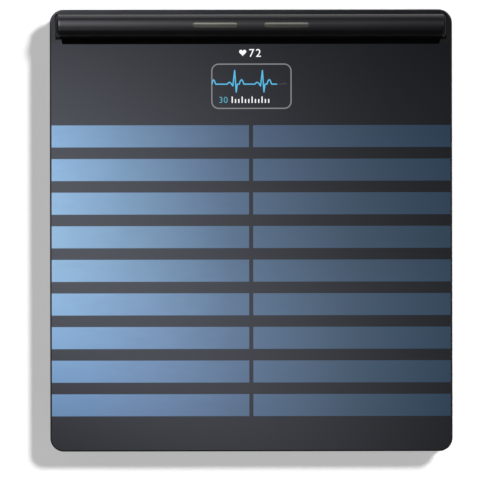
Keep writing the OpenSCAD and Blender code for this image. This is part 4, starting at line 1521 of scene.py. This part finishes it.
@dataclass
class ScreenFigures:
    """What the screen shows through the glass: a heart with a number, a trace in a frame, a scale.

    Places and sizes are in millimetres on the glass, except for the heights.

    Attributes:
        top: Height of the glass.
        below: Depth of the figures in the glass.
        proud: Height of their upper faces above it.
        frame_low: Near left corner of the frame.
        frame_high: Far right corner of the frame.
        frame_corner: Radius of the frame's corners.
        line: Width of the frame's line.
        base: Y of the trace's rest line.
        start: The small wave before the first beat, from the rest line.
        beat: One heartbeat, from its start on the rest line.
        beats_at: X at which the beats start.
        trace_end: X at which the trace ends.
        width: Width of the trace.
        rest: The dim end of the trace, from the rest line.
        rest_width: Width of that end.
        heart_at: Middle of the heart.
        heart_half: Half of its width.
        ticks_at: Near left corner of the first bar of the scale.
        tick: Width and corner radius of a bar.
        tick_pitch: Distance between two bars.
        tick_count: Number of bars.
        tick_heights: Height of every third bar and of the others.
        grain: Distance between the points of a line's outline.
    """

    top: float
    below: float = 0.04 * MM
    proud: float = 0.03 * MM
    frame_low: Place = (-32.05, 98.15)
    frame_high: Place = (32.9, 134.85)
    frame_corner: float = 6.0
    line: float = 0.95
    base: float = 118.2
    start: tuple[Place, ...] = (
        (-31.4, 0.3), (-30.8, 2.6), (-30.2, 3.6), (-29.4, 2.6), (-28.4, 0.0),
    )
    beat: tuple[Place, ...] = (
        (-4.2, 0.0), (-3.2, 1.1), (-2.3, 1.5), (-1.5, 1.1), (-0.6, 0.0), (0.4, -1.5), (1.9, 11.2),
        (3.1, -6.5), (4.0, 0.0), (5.6, 0.0), (6.4, 2.6), (7.4, 3.7), (8.4, 2.6), (9.3, 0.0),
    )
    beats_at: Span = (-15.0, 7.4)
    trace_end: float = 20.8
    width: float = 0.98
    rest: tuple[Place, ...] = ((22.8, 0.0), (26.0, 0.0), (27.4, 0.9), (28.8, 0.0))
    rest_width: float = 0.9
    heart_at: Place = (-6.6, 143.8)
    heart_half: float = 2.9
    ticks_at: Place = (-15.6, 103.0)
    tick: Span = (0.95, 0.25)
    tick_pitch: float = 2.68
    tick_count: int = 12
    tick_heights: Span = (5.2, 3.2)
    grain: float = 0.15

    def build(self) -> None:
        """Makes the figures one after another."""
        pulse = self.number("72", height=6.6, corner=(-1.7, 140.3), spread=1.22, weight=0.04)
        count = self.number("30", height=5.2, corner=(-26.0, 103.1), spread=1.08, weight=-0.05)
        trace = self.wave(0.0, self.start) + [
            point for x in self.beats_at for point in self.wave(x, self.beat)
        ] + self.wave(self.trace_end, ((0.0, 0.0),))
        self.show("screen_heading", Finishes.WHITE_FIGURE, self.heart(), pulse)
        self.show("screen_frame", Finishes.GREY_FIGURE, self.frame())
        self.show("screen_trace", Finishes.BLUE_FIGURE, self.line_of("trace", trace, self.width))
        rest = self.line_of("rest", self.wave(0.0, self.rest), self.rest_width)
        self.show("screen_rest_line", Finishes.DIM_FIGURE, rest)
        self.show("screen_count", Finishes.TEAL_FIGURE, count)
        self.show("screen_scale", Finishes.WHITE_FIGURE, *self.ticks())

    def show(self, name: str, finish: Finish, *parts: bpy.types.Object) -> None:
        """Joins parts into one lit figure on the glass, which the bar doesn't mirror.

        Args:
            name: The figure's name.
            finish: Its finish.
            parts: Its parts.
        """
        figure = joined(name, [finished(part, finish) for part in parts])
        figure.visible_glossy = False
        settle(figure, Body.BASE, "screen")

    def shape(self, name: str, *outlines: Sequence[Place]) -> bpy.types.Object:
        """A flat figure from outlines."""
        return flat_shape(name, outlines, self.top - self.below, self.top + self.proud)

    def line_of(self, name: str, points: Sequence[Place], width: float) -> bpy.types.Object:
        """A line of a width through points."""
        return self.shape(name, ribbon(in_mm(points), width * MM, self.grain * MM))

    def wave(self, start: float, points: Iterable[Place]) -> list[Place]:
        """Points of the trace, from a start on the rest line."""
        return [(start + x, self.base + y) for x, y in points]

    def heart(self) -> bpy.types.Object:
        """Makes the heart beside the pulse number.

        Returns:
            The heart's mesh.
        """
        steps, half = 48, 16.0
        waves = ((1, 13), (2, -5), (3, -2), (4, -1))
        size = self.heart_half * MM / half
        x, y = self.heart_at
        points = []
        for step in range(steps):
            turn = math.tau * step / steps
            across = half * math.sin(turn) ** 3
            up = sum(share * math.cos(times * turn) for times, share in waves)
            points.append((x * MM + across * size, y * MM + up * size))
        return self.shape("heart", points)

    def number(self, digits: str, height: float, corner: Place, spread: float,
               weight: float) -> bpy.types.Object:
        """A plain number.

        Args:
            digits: The figures.
            height: Their height.
            corner: Their lower left corner.
            spread: Letter spacing.
            weight: How far each outline is drawn out.

        Returns:
            The number's mesh.
        """
        cap_share = 0.729
        drawn = bpy.data.curves.new("number_" + digits, "FONT")
        drawn.body = digits
        drawn.size = height * MM / cap_share
        drawn.space_character = spread
        drawn.offset = weight * MM
        drawn.extrude = (self.below + self.proud) / 2
        middle = self.top + (self.proud - self.below) / 2
        return as_mesh("number_" + digits, drawn, Vector((corner[0] * MM, corner[1] * MM, middle)))

    def frame(self) -> bpy.types.Object:
        """Makes the rounded frame round the trace.

        Returns:
            The frame's mesh.
        """
        low, high = in_mm((self.frame_low, self.frame_high))
        radii = (self.frame_corner * MM,) * 4
        insets = (0.0, self.line * MM)
        return self.shape("frame", *(plan(low, high, radii, inset) for inset in insets))

    def ticks(self) -> list[bpy.types.Object]:
        """Makes the bars of a plain scale beside the lower number.

        Returns:
            The bars.
        """
        made = []
        wide, corner = self.tick
        for number in range(self.tick_count):
            x, y = self.ticks_at[0] + number * self.tick_pitch, self.ticks_at[1]
            tall = self.tick_heights[min(1, number % 3)]
            low, high = in_mm(((x, y), (x + wide, y + tall)))
            made.append(self.shape(f"tick_{number}", plan(low, high, (corner * MM,) * 4, steps=4)))
        return made


@dataclass
class Dock:
    """Gloss black strip behind the glass, with the hollow that the bar lies in.

    Attributes:
        corner: Radius of the two far corners.
        rim: Radius of the rounded upper edge.
        seam: Gap between the glass and the strip.
        inset: How far the lower part is drawn in.
        shelf: Height of the lower face of the gloss part.
        floor: Height of the lower part's lower face.
        hollow: Radius and half length of the round hollow.
        opening: Half length of the opening before the bar, at the glass and at the bar.
        opening_width: Distance from the glass to the bar.
        opening_floor: Height of the opening's floor at the glass.
        opening_foot: Where that floor meets the hollow, before and under the hollow's axis, as
            shares of its radius.
        cord_hole: Radius of the hole under the bar and height of its lower end over the floor.
        cord_bore: Radius of the bore under it and heights of its ends over the floor.
        screw_hole: Radius of a screw hole and heights of its ends over the floor.
        screw_row: Distance of the screw holes from the seam.
        screws: Places of the screw holes along the strip in millimetres.
        stake: X, Y and radius of the two stakes that hold the pulley's bracket.
        stake_head: Profile of a stake's melted head, beyond its radius and over its end, in
            millimetres.
        stake_root: How far a stake reaches into the strip.
        steps: Points round the cord's way down, and round a screw hole or a stake.
        overlap: How far the lower part reaches into the gloss part.
        weld: Distance under which points are made one.
    """

    corner: float = 11.0 * MM
    rim: float = 1.15 * MM
    seam: float = 0.02 * MM
    inset: float = 2.0 * MM
    shelf: float = 22.6 * MM
    floor: float = 17.2 * MM
    hollow: Span = (10.55 * MM, 157.9 * MM)
    opening: Span = (152.4 * MM, 154.6 * MM)
    opening_width: float = 3.8 * MM
    opening_floor: float = 23.2 * MM
    opening_foot: Span = (0.53, 0.77)
    cord_hole: Span = (3.25 * MM, 0.9 * MM)
    cord_bore: Point = (2.55 * MM, -1.0 * MM, 1.0 * MM)
    screw_hole: Point = (1.56 * MM, -1.0 * MM, 4.0 * MM)
    screw_row: float = 2.5 * MM
    screws: tuple[float, ...] = (-148.0, -60.0, 60.0, 148.0)
    stake: Point = (7.5 * MM, 160.55 * MM, 1.5 * MM)
    stake_head: tuple[Place, ...] = ((0.6, 0.0), (1.0, 0.2), (1.0, 0.6), (0.0, 0.6))
    stake_root: float = 0.1 * MM
    steps: tuple[int, int] = (40, 24)
    overlap: float = 0.01 * MM
    weld: float = 0.001 * MM

    def build(self) -> None:
        """Makes the strip and cuts the hollow, the opening and the holes."""
        low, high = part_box("rear_dock")
        glass_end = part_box("glass_platform")[1].y + self.seam
        bar_low, bar_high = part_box("handle_upper_shell")
        axis = Vector((0.0, (bar_low.y + bar_high.y) / 2, bar_low.z))
        radii = (0.0, 0.0, self.corner, self.corner)
        upper = (low.x, glass_end)
        strip = loft("rear_dock_strip", [
            at_height(plan(upper, high.xy, radii, 0.0, CORNER_STEPS, Side.NEAR), self.shelf),
            *rounded_rim(upper, high, radii, self.rim, Side.NEAR),
        ])
        outline = plan(low.xy, high.xy, radii, self.inset, CORNER_STEPS, Side.NEAR)
        heights = (self.floor, self.shelf + self.overlap)
        lower = loft("dock_lower", [at_height(outline, height) for height in heights])
        cut(strip, lower, *self.stakes(low.z), union=True)
        cut(strip, self.trough(axis), self.front_opening(glass_end, axis),
            *self.holes(axis.xy, high.z, glass_end + self.screw_row))
        shape = bmesh.new()
        shape.from_mesh(strip.data)
        bmesh.ops.remove_doubles(shape, verts=shape.verts, dist=self.weld)
        shape.to_mesh(strip.data)
        shape.free()
        strip.data.shade_smooth()
        strip.data.set_sharp_from_angle(angle=math.radians(CREASE))
        # the hollow and the opening take the painted shade finish
        finished(strip, SLOTS["dock_black"], Finishes.DOCK_EDGE, Finishes.PAINTED_SHADE_HOLLOW,
                 pick=lambda face: self.finish_of(face, high.z, axis))
        faces = strip.data.polygons
        sharp = {key for face in faces if face.material_index == 0 for key in face.edge_keys}
        for edge in strip.data.edges:
            edge.use_edge_sharp = edge.use_edge_sharp or edge.key in sharp
        settle(strip, Body.BASE, "dock_black", "rear_dock")

    def stakes(self, end: float) -> list[bpy.types.Object]:
        """Makes the two stakes.

        Args:
            end: Height of their lower ends.

        Returns:
            The stakes.
        """
        x, y, radius = self.stake
        profile = [(radius + out * MM, end + up * MM) for out, up in self.stake_head]
        profile.append((radius, self.floor + self.stake_root))
        return [lathe(f"stake_{side}", profile, (side * x, y), self.steps[1]) for side in (-1, 1)]

    def trough(self, axis: Vector) -> bpy.types.Object:
        """Makes the round hollow along the bar.

        Args:
            axis: A point on the bar's axis.

        Returns:
            The cutting piece.
        """
        radius, half = self.hollow
        segments = 128
        turns = [math.tau * step / segments for step in range(segments)]
        circle = [(axis.y + radius * math.cos(a), axis.z + radius * math.sin(a)) for a in turns]
        return loft("trough", [[Vector((x, y, z)) for y, z in circle] for x in (-half, half)])

    def front_opening(self, glass_end: float, axis: Vector) -> bpy.types.Object:
        """Makes the opening between the glass and the bar, whose floor falls towards the bar.

        Args:
            glass_end: Y of the strip's near side.
            axis: A point on the bar's axis.

        Returns:
            The cutting piece.
        """
        radius = self.hollow[0]
        near, far = self.opening
        before = glass_end - 1.0 * MM
        foot = [middle - share * radius for middle, share in zip(axis.yz, self.opening_foot)]
        side = ((before, axis.z), (before, self.opening_floor), foot, (axis.y, axis.z))
        slope = (far - near) / self.opening_width
        halves = [min(far, near + slope * (y - glass_end)) for y, _ in side]
        return loft("front_opening", [
            [Vector((way * half, y, z)) for half, (y, z) in zip(halves, side)] for way in (-1, 1)
        ])

    def holes(self, middle: Place, top: float, row: float) -> list[bpy.types.Object]:
        """Makes the cord's way down and the screw holes.

        Args:
            middle: The cord's place in plan.
            top: Height of the strip's face.
            row: Y of the screw holes.

        Returns:
            The cutting pieces.
        """
        wide, narrow = self.steps
        rows = [("cord_hole", middle, wide, *self.cord_hole, top - self.floor),
                ("cord_bore", middle, wide, *self.cord_bore)]
        rows += [(f"screw_hole_{x}", (x * MM, row), narrow, *self.screw_hole) for x in self.screws]
        return [lathe(name, [(radius, self.floor + height) for height in ends], place, segments)
                for name, place, segments, radius, *ends in rows]

    def finish_of(self, face: bpy.types.MeshPolygon, top: float, axis: Vector) -> int:
        """Tells the gloss face from the edges and walls, and from the hollow and the opening.

        Args:
            face: A face of the strip.
            top: Height of the strip's face.
            axis: A point on the bar's axis.

        Returns:
            0 for the gloss face, 1 for edges and walls, 2 for the hollow and the opening.
        """
        skin, slack, under = 0.02 * MM, 0.1 * MM, 0.2 * MM
        flat, steep = 0.9, -0.5
        where, rise = face.center, face.normal.z
        if where.z > top - skin and rise > flat:
            return 0
        inside = abs(where.x) < self.hollow[1] + slack and where.y < axis.y + self.hollow[0]
        return 2 if inside and rise > steep and where.z > self.floor - under else 1


@dataclass(frozen=True)
class Layer:
    """One layer of turns on the reel.

    Attributes:
        radius: Radius of the cord's middle line.
        turns: Number of turns.
        height: Height of the last turn's end.
        pitch: Rise for each turn back.
        middle: The reel's axis in plan.
        steps: Points of a turn.
    """

    radius: float
    turns: float
    height: float
    pitch: float
    middle: Place = (-29.5 * MM, 40.0 * MM)
    steps: int = 48

    def path(self) -> list[Vector]:
        """Draws the turns.

        Returns:
            Their middle line.
        """
        count = round(self.turns * self.steps)
        path = []
        for step in range(count + 1):
            turn = -self.turns + self.turns * step / count
            angle = math.tau * turn
            path.append(Vector((self.middle[0] + self.radius * math.cos(angle),
                                self.middle[1] + self.radius * math.sin(angle),
                                self.height - self.pitch * turn)))
        return path


@dataclass
class PullCord:
    """Braided cord that joins the bar to the reel under the glass.

    Attributes:
        radius: Radius of the cord.
        outer: The layer of turns that the cord leaves from.
        inner: The layer under it.
        straight: First and end Y and step of the points of the straight run, in millimetres.
        pulley: Y and Z of the guide pulley's middle in millimetres.
        bend: Radius of the cord's bend round it in millimetres.
        bend_step: Degrees between two points of the bend.
        rise: Heights of the last points, up to the eyelet, in millimetres.
        step: Length of a ring of the run and of the turns.
        stretch_rings: Rings of the stretch from the eyelet to the bar.
        sides: Points of a ring under the glass and of one over it.
    """

    radius: float = 1.1 * MM
    outer: Layer = Layer(29.5 * MM, 2.25, 11.2 * MM, 2.65 * MM)
    inner: Layer = Layer(27.25 * MM, 2.75, 11.25 * MM, 2.16 * MM)
    straight: tuple[int, int, int] = (42, 160, 2)
    pulley: Place = (160.55, 12.4)
    bend: float = 4.1
    bend_step: int = 6
    rise: Span = (14.8, 17.2)
    step: float = 1.4 * MM
    stretch_rings: int = 48
    sides: tuple[int, int] = (14, 16)

    def build(self) -> None:
        """Makes the free stretch, the run under the glass and the turns on the reel."""
        self.free_stretch()
        run = self.outer.path() + [mm(0, y, self.outer.height / MM) for y in range(*self.straight)]
        y, z = self.pulley
        for angle in range(-90, 1, self.bend_step):
            turn = math.radians(angle)
            run.append(mm(0, y + self.bend * math.cos(turn), z + self.bend * math.sin(turn)))
        run += [mm(0, y + self.bend, height) for height in self.rise]
        pieces = []
        for name, path in (("outer", run), ("inner", self.inner.path())):
            piece = loft(name, tube_rings(evened(path, self.step), self.radius, self.sides[0]))
            pieces.append(finished(piece, SLOTS["cord_black"]))
        settle(joined("reel_cord_turns", pieces), Body.BASE, "cord_black", "reel_cord")

    def free_stretch(self) -> None:
        """Makes the straight stretch from the eyelet to the bar, as it lies at rest."""
        low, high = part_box("handle_cord")
        middle = (low + high) / 2
        foot, head = (Vector((middle.x, middle.y, z)) for z in (low.z, high.z))
        count = self.stretch_rings
        path = [foot.lerp(head, step / count) for step in range(count + 1)]
        tube = loft("handle_cord_braid", tube_rings(path, self.radius, self.sides[1]))
        cord = finished(tube, SLOTS["cord_black"])
        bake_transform(cord)
        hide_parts("handle_cord")
        LOG.info("%s: %d faces, from the base to the handle", cord.name, len(cord.data.polygons))


@dataclass(frozen=True)
class Lead:
    """Wires twisted round each other along a route.

    Attributes:
        name: The piece's name.
        node: The solid that it stands for, with the others of its kind.
        wires: One finish for each wire.
        route: Corners of its middle line in millimetres.
        reach: Reach of the rounding at the corners.
        radius: Radius of the whole bundle.
        twist: Length of one full twist.
        step: Length of a ring.
        sides: Points of a ring.
    """

    name: str
    node: str
    wires: tuple[Finish, ...]
    route: tuple[Point, ...]
    reach: float = 4.0 * MM
    radius: float = 0.9 * MM
    twist: float = 11.0 * MM
    step: float = 1.3 * MM
    sides: int = 9

    def build(self) -> None:
        """Makes the wires and joins them."""
        count = len(self.wires)
        wire = self.radius * WIRE_SHARES[count]
        path = evened(eased([mm(*corner) for corner in self.route], self.reach), self.step)
        length = sum((two - one).length for one, two in zip(path, path[1:]))
        made = []
        for number, finish in enumerate(self.wires):
            strand = []
            for step, (point, side, up) in enumerate(framed(path)):
                angle = math.tau * (number / count + length * step / len(path) / self.twist)
                off = side * math.cos(angle) + up * math.sin(angle)
                strand.append(point + off * (self.radius - wire))
            tube = loft(f"{self.name}_{number}", tube_rings(strand, wire, self.sides))
            made.append(finished(tube, finish))
        settle(joined(self.name, made), Body.BASE, "lead_grey", self.node)


@dataclass
class Wiring:
    """Twisted leads and the flat cable inside the base.

    Attributes:
        leads: The leads of the load cells, the battery, the reel and the port board.
        cable_half: Half of the flat cable's thickness.
        cable_side: Y and Z of the flat cable's corners in millimetres.
        cable_reach: Reach of the rounding at its corners.
    """

    leads: tuple[Lead, ...] = (
        Lead("sensor_lead_front_right", "sensor_leads", THREE_WIRES, (
            (75, -144.5, 15.1), (56, -144.5, 15.1), (44, -118, 15.1), (44, -36, 15.1),
            (44, -26, 16.2), (44, -20, 16.2),
        )),
        Lead("sensor_lead_front_left", "sensor_leads", THREE_WIRES, (
            (-75, -144.5, 15.1), (-60, -144.5, 15.1), (-40, -132, 15.1), (16, -132, 15.1),
            (28, -112, 15.1), (28, -36, 15.1), (28, -26, 16.2), (28, -20, 16.2),
        )),
        Lead("sensor_lead_back_right", "sensor_leads", THREE_WIRES, (
            (75, 120.5, 15.1), (66, 120.5, 15.1), (76, 88, 15.1), (76, 54, 15.1),
            (76, 44, 16.2), (76, 38, 16.2),
        )),
        Lead("sensor_lead_back_left", "sensor_leads", THREE_WIRES, (
            (-75, 120.5, 15.1), (-64, 120.5, 15.1), (-58, 85, 15.1), (48, 85, 15.1),
            (58, 72, 15.1), (58, 54, 15.1), (58, 44, 16.2), (58, 38, 16.2),
        )),
        Lead("battery_lead", "inner_leads", (Finishes.RED_LEAD, Finishes.DARK_LEAD), (
            (-18, -70, 16.1), (-6, -70, 16.1), (4, -50, 16.1), (4, -8, 16.2), (14, -8, 16.2),
        )),
        Lead("reel_lead", "inner_leads", (Finishes.DARK_LEAD, Finishes.WHITE_LEAD), (
            (4.704811, 27.550467, 12.6), (7.704811, 26.450467, 12.6), (10, 14, 16.2),
            (14, 14, 16.2),
        ), reach=1.5 * MM, radius=0.8 * MM),
        Lead("port_lead", "inner_leads", THREE_WIRES, (
            (138, 77, 13.8), (128, 77, 13.8), (124, 40, 16.2), (124, 20, 16.2), (110, 20, 16.2),
        ), reach=3.0 * MM, radius=0.8 * MM),
    )
    cable_half: float = 0.15 * MM
    cable_side: tuple[Place, ...] = (
        (98.3, 20.2), (98.3, 17.8), (97.5, 17.0), (96.3, 16.6), (68.05, 17.1), (45.8, 16.5),
        (37.8, 16.5),
    )
    cable_reach: float = 0.5 * MM

    def build(self) -> None:
        """Makes the leads and the flat cable."""
        for lead in self.leads:
            lead.build()
        self.flat_cable()

    def flat_cable(self) -> None:
        """Makes the screen's flat cable, bent down to the main board."""
        left, right = (corner.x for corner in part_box("display_cable"))
        corners = ((left, -1), (right, -1), (right, 1), (left, 1))
        path = eased([mm(0, y, z) for y, z in self.cable_side], self.cable_reach, 4)
        rings = []
        for number, point in enumerate(path):
            ahead = heading(path, number)
            off = Vector((0.0, -ahead.z, ahead.y)) * self.cable_half
            rings.append([Vector((x, *(point + off * way).yz)) for x, way in corners])
        cable = loft("screen_flat_cable", rings, SOFT_CREASE)
        settle(cable, Body.BASE, "flex_amber", "display_cable")


@dataclass
class SoftParts:
    """Gasket, foam pad, battery pouch and foot pads.

    Attributes:
        gasket_corner: Radius of the gasket's near corners.
        window: Near left and far right corner of the gasket's window in millimetres.
        window_corner: Radius of its corners.
        notch: Half width and far side of the window's notch for the screen in millimetres.
        foam_corner: Radius of the foam pad's corners.
        foam_swell: How far its side is drawn in, in millimetres, and its height as a share.
        pouch_corner: Radius of the battery pouch's corners.
        pouch_swell: The same as the foam's, for the pouch.
        pad_radius: Radius of a foot pad.
        pad_steps: Points round it.
        pad_hub: Radius of the flat middle of its faces.
        pad_foot: Points of its lower edge, as distance from its side and height.
        pad_top: Points of its upper edge, as distance from its side and from its top.
        groove: Inner and outer radius of the groove under it.
        groove_depth: Depth of that groove, and how far its sides lean.
        ribs: Radii of the fine ribs under it, inside and outside the groove.
        rib: Depth and half width of the groove at a rib.
    """

    gasket_corner: float = 8.6 * MM
    window: tuple[Place, Place] = ((-148.9, -164.9), (148.9, 138.6))
    window_corner: float = 1.0 * MM
    notch: Place = (42.7, 148.4)
    foam_corner: float = 2.0 * MM
    foam_swell: tuple[Place, ...] = (
        (0.5, 0.0), (0.16, 0.12), (0.03, 0.3), (0.0, 0.5), (0.03, 0.7), (0.16, 0.88), (0.5, 1.0),
    )
    pouch_corner: float = 2.5 * MM
    pouch_swell: tuple[Place, ...] = (
        (2.2, 0.0), (0.9, 0.04), (0.3, 0.14), (0.05, 0.3), (0.0, 0.5), (0.05, 0.7), (0.3, 0.86),
        (0.9, 0.96), (2.2, 1.0),
    )
    pad_radius: float = 17.0 * MM
    pad_steps: int = 72
    pad_hub: float = 0.6 * MM
    pad_foot: tuple[Place, ...] = ((0.5 * MM, 0.0), (0.14 * MM, 0.16 * MM), (0.0, 0.5 * MM))
    pad_top: tuple[Place, ...] = ((0.0, 0.4 * MM), (0.12 * MM, 0.12 * MM), (0.4 * MM, 0.0))
    groove: Span = (10.0 * MM, 12.0 * MM)
    groove_depth: Span = (0.6 * MM, 0.1 * MM)
    ribs: tuple[tuple[float, ...], ...] = ((4.0 * MM, 7.0 * MM), (14.4 * MM,))
    rib: Span = (0.25 * MM, 0.35 * MM)

    def build(self) -> None:
        """Makes them in the room of their solids."""
        self.gasket()
        foam = self.cushion("battery_foam_pad", "battery_foam", self.foam_corner, self.foam_swell)
        settle(foam, Body.BASE, "foam_grey", "battery_foam")
        pouch = self.cushion("battery_pouch", "battery_pack", self.pouch_corner, self.pouch_swell)
        settle(pouch, Body.BASE, "battery_blue", "battery_pack")
        for corner in ("front_left", "front_right", "back_left", "back_right"):
            self.foot_pad("foot_pad_" + corner)

    def gasket(self) -> None:
        """Makes the adhesive gasket with the window of the screen in it."""
        low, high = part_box("bond_gasket")
        outer = plan(low.xy, high.xy, (self.gasket_corner, self.gasket_corner, 0.0, 0.0))
        window = plan(*in_mm(self.window), (self.window_corner,) * 4, steps=6)
        half, far = self.notch
        side = self.window[1][1]
        notch = in_mm(((half, side), (half, far), (-half, far), (-half, side)))
        far_right = len(window) * 3 // 4
        inner = window[:far_right] + notch + window[far_right:]
        piece = flat_shape("glass_gasket", [outer, inner], low.z, high.z)
        settle(piece, Body.BASE, "gasket_grey", "bond_gasket")

    def cushion(self, name: str, node: str, corner: float,
                swell: Sequence[Place]) -> bpy.types.Object:
        """A flat cushion whose sides bulge.

        Args:
            name: The piece's name.
            node: The solid that gives its room.
            corner: Its corner radius.
            swell: How far the side is drawn in, in millimetres, and its height as a share, from
                below.

        Returns:
            The cushion.
        """
        low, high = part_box(node)
        return loft(name, [
            at_height(plan(low.xy, high.xy, (corner,) * 4, inset * MM),
                      low.z + (high.z - low.z) * share)
            for inset, share in swell
        ], SOFT_CREASE)

    def foot_pad(self, node: str) -> None:
        """Makes a rubber foot pad with a groove and fine ribs underneath.

        Args:
            node: The pad's solid.
        """
        low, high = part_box(node)
        (inner, outer), (deep, lean) = self.groove, self.groove_depth
        groove = [(inner, 0.0), (inner + lean, deep), (outer - lean, deep), (outer, 0.0)]
        inside, outside = ([point for radius in radii for point in self.fine_rib(radius)]
                           for radii in self.ribs)
        foot = [(self.pad_radius - back, rise) for back, rise in self.pad_foot]
        top = [(self.pad_radius - back, high.z - drop) for back, drop in self.pad_top]
        profile = [(self.pad_hub, 0.0), *inside, *groove, *outside, *foot, *top,
                   (self.pad_hub, high.z)]
        pad = lathe("rubber_" + node, profile, ((low + high) / 2).xy, self.pad_steps)
        settle(pad, Body.BASE, "pad_rubber", node)

    def fine_rib(self, radius: float) -> list[Place]:
        """A fine groove beside a rib, as profile points."""
        deep, half = self.rib
        return [(radius + half * k, deep * (abs(k) < 1)) for k in (-1, -0.5, 0.5, 1)]


class KeptSolids:
    """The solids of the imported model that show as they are."""

    def build(self) -> None:
        """Dresses every node in the finish of its material slot."""
        rows = frame["record"]["subparts"]
        for row in rows:
            thumb = row["node"].startswith("thumb_electrode")
            finish = Finishes.THUMB if thumb else SLOTS[row["material_slot"]]
            finished(frame["nodes"][row["node"]], finish)
        LOG.info("dressed %d nodes", len(rows))


def main() -> None:
    """Builds the scale in order and reports it."""
    logging.basicConfig(level=logging.INFO, format="%(message)s")
    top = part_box("glass_platform")[1].z
    camera = PhotoCamera()
    camera.build(top)
    Studio().build(camera, top)
    for piece in (KeptSolids(), GlassTop(), Dock(), ScreenFigures(top), PullCord(), Wiring(),
                  SoftParts()):
        piece.build()


if __name__ == "__main__":
    main()
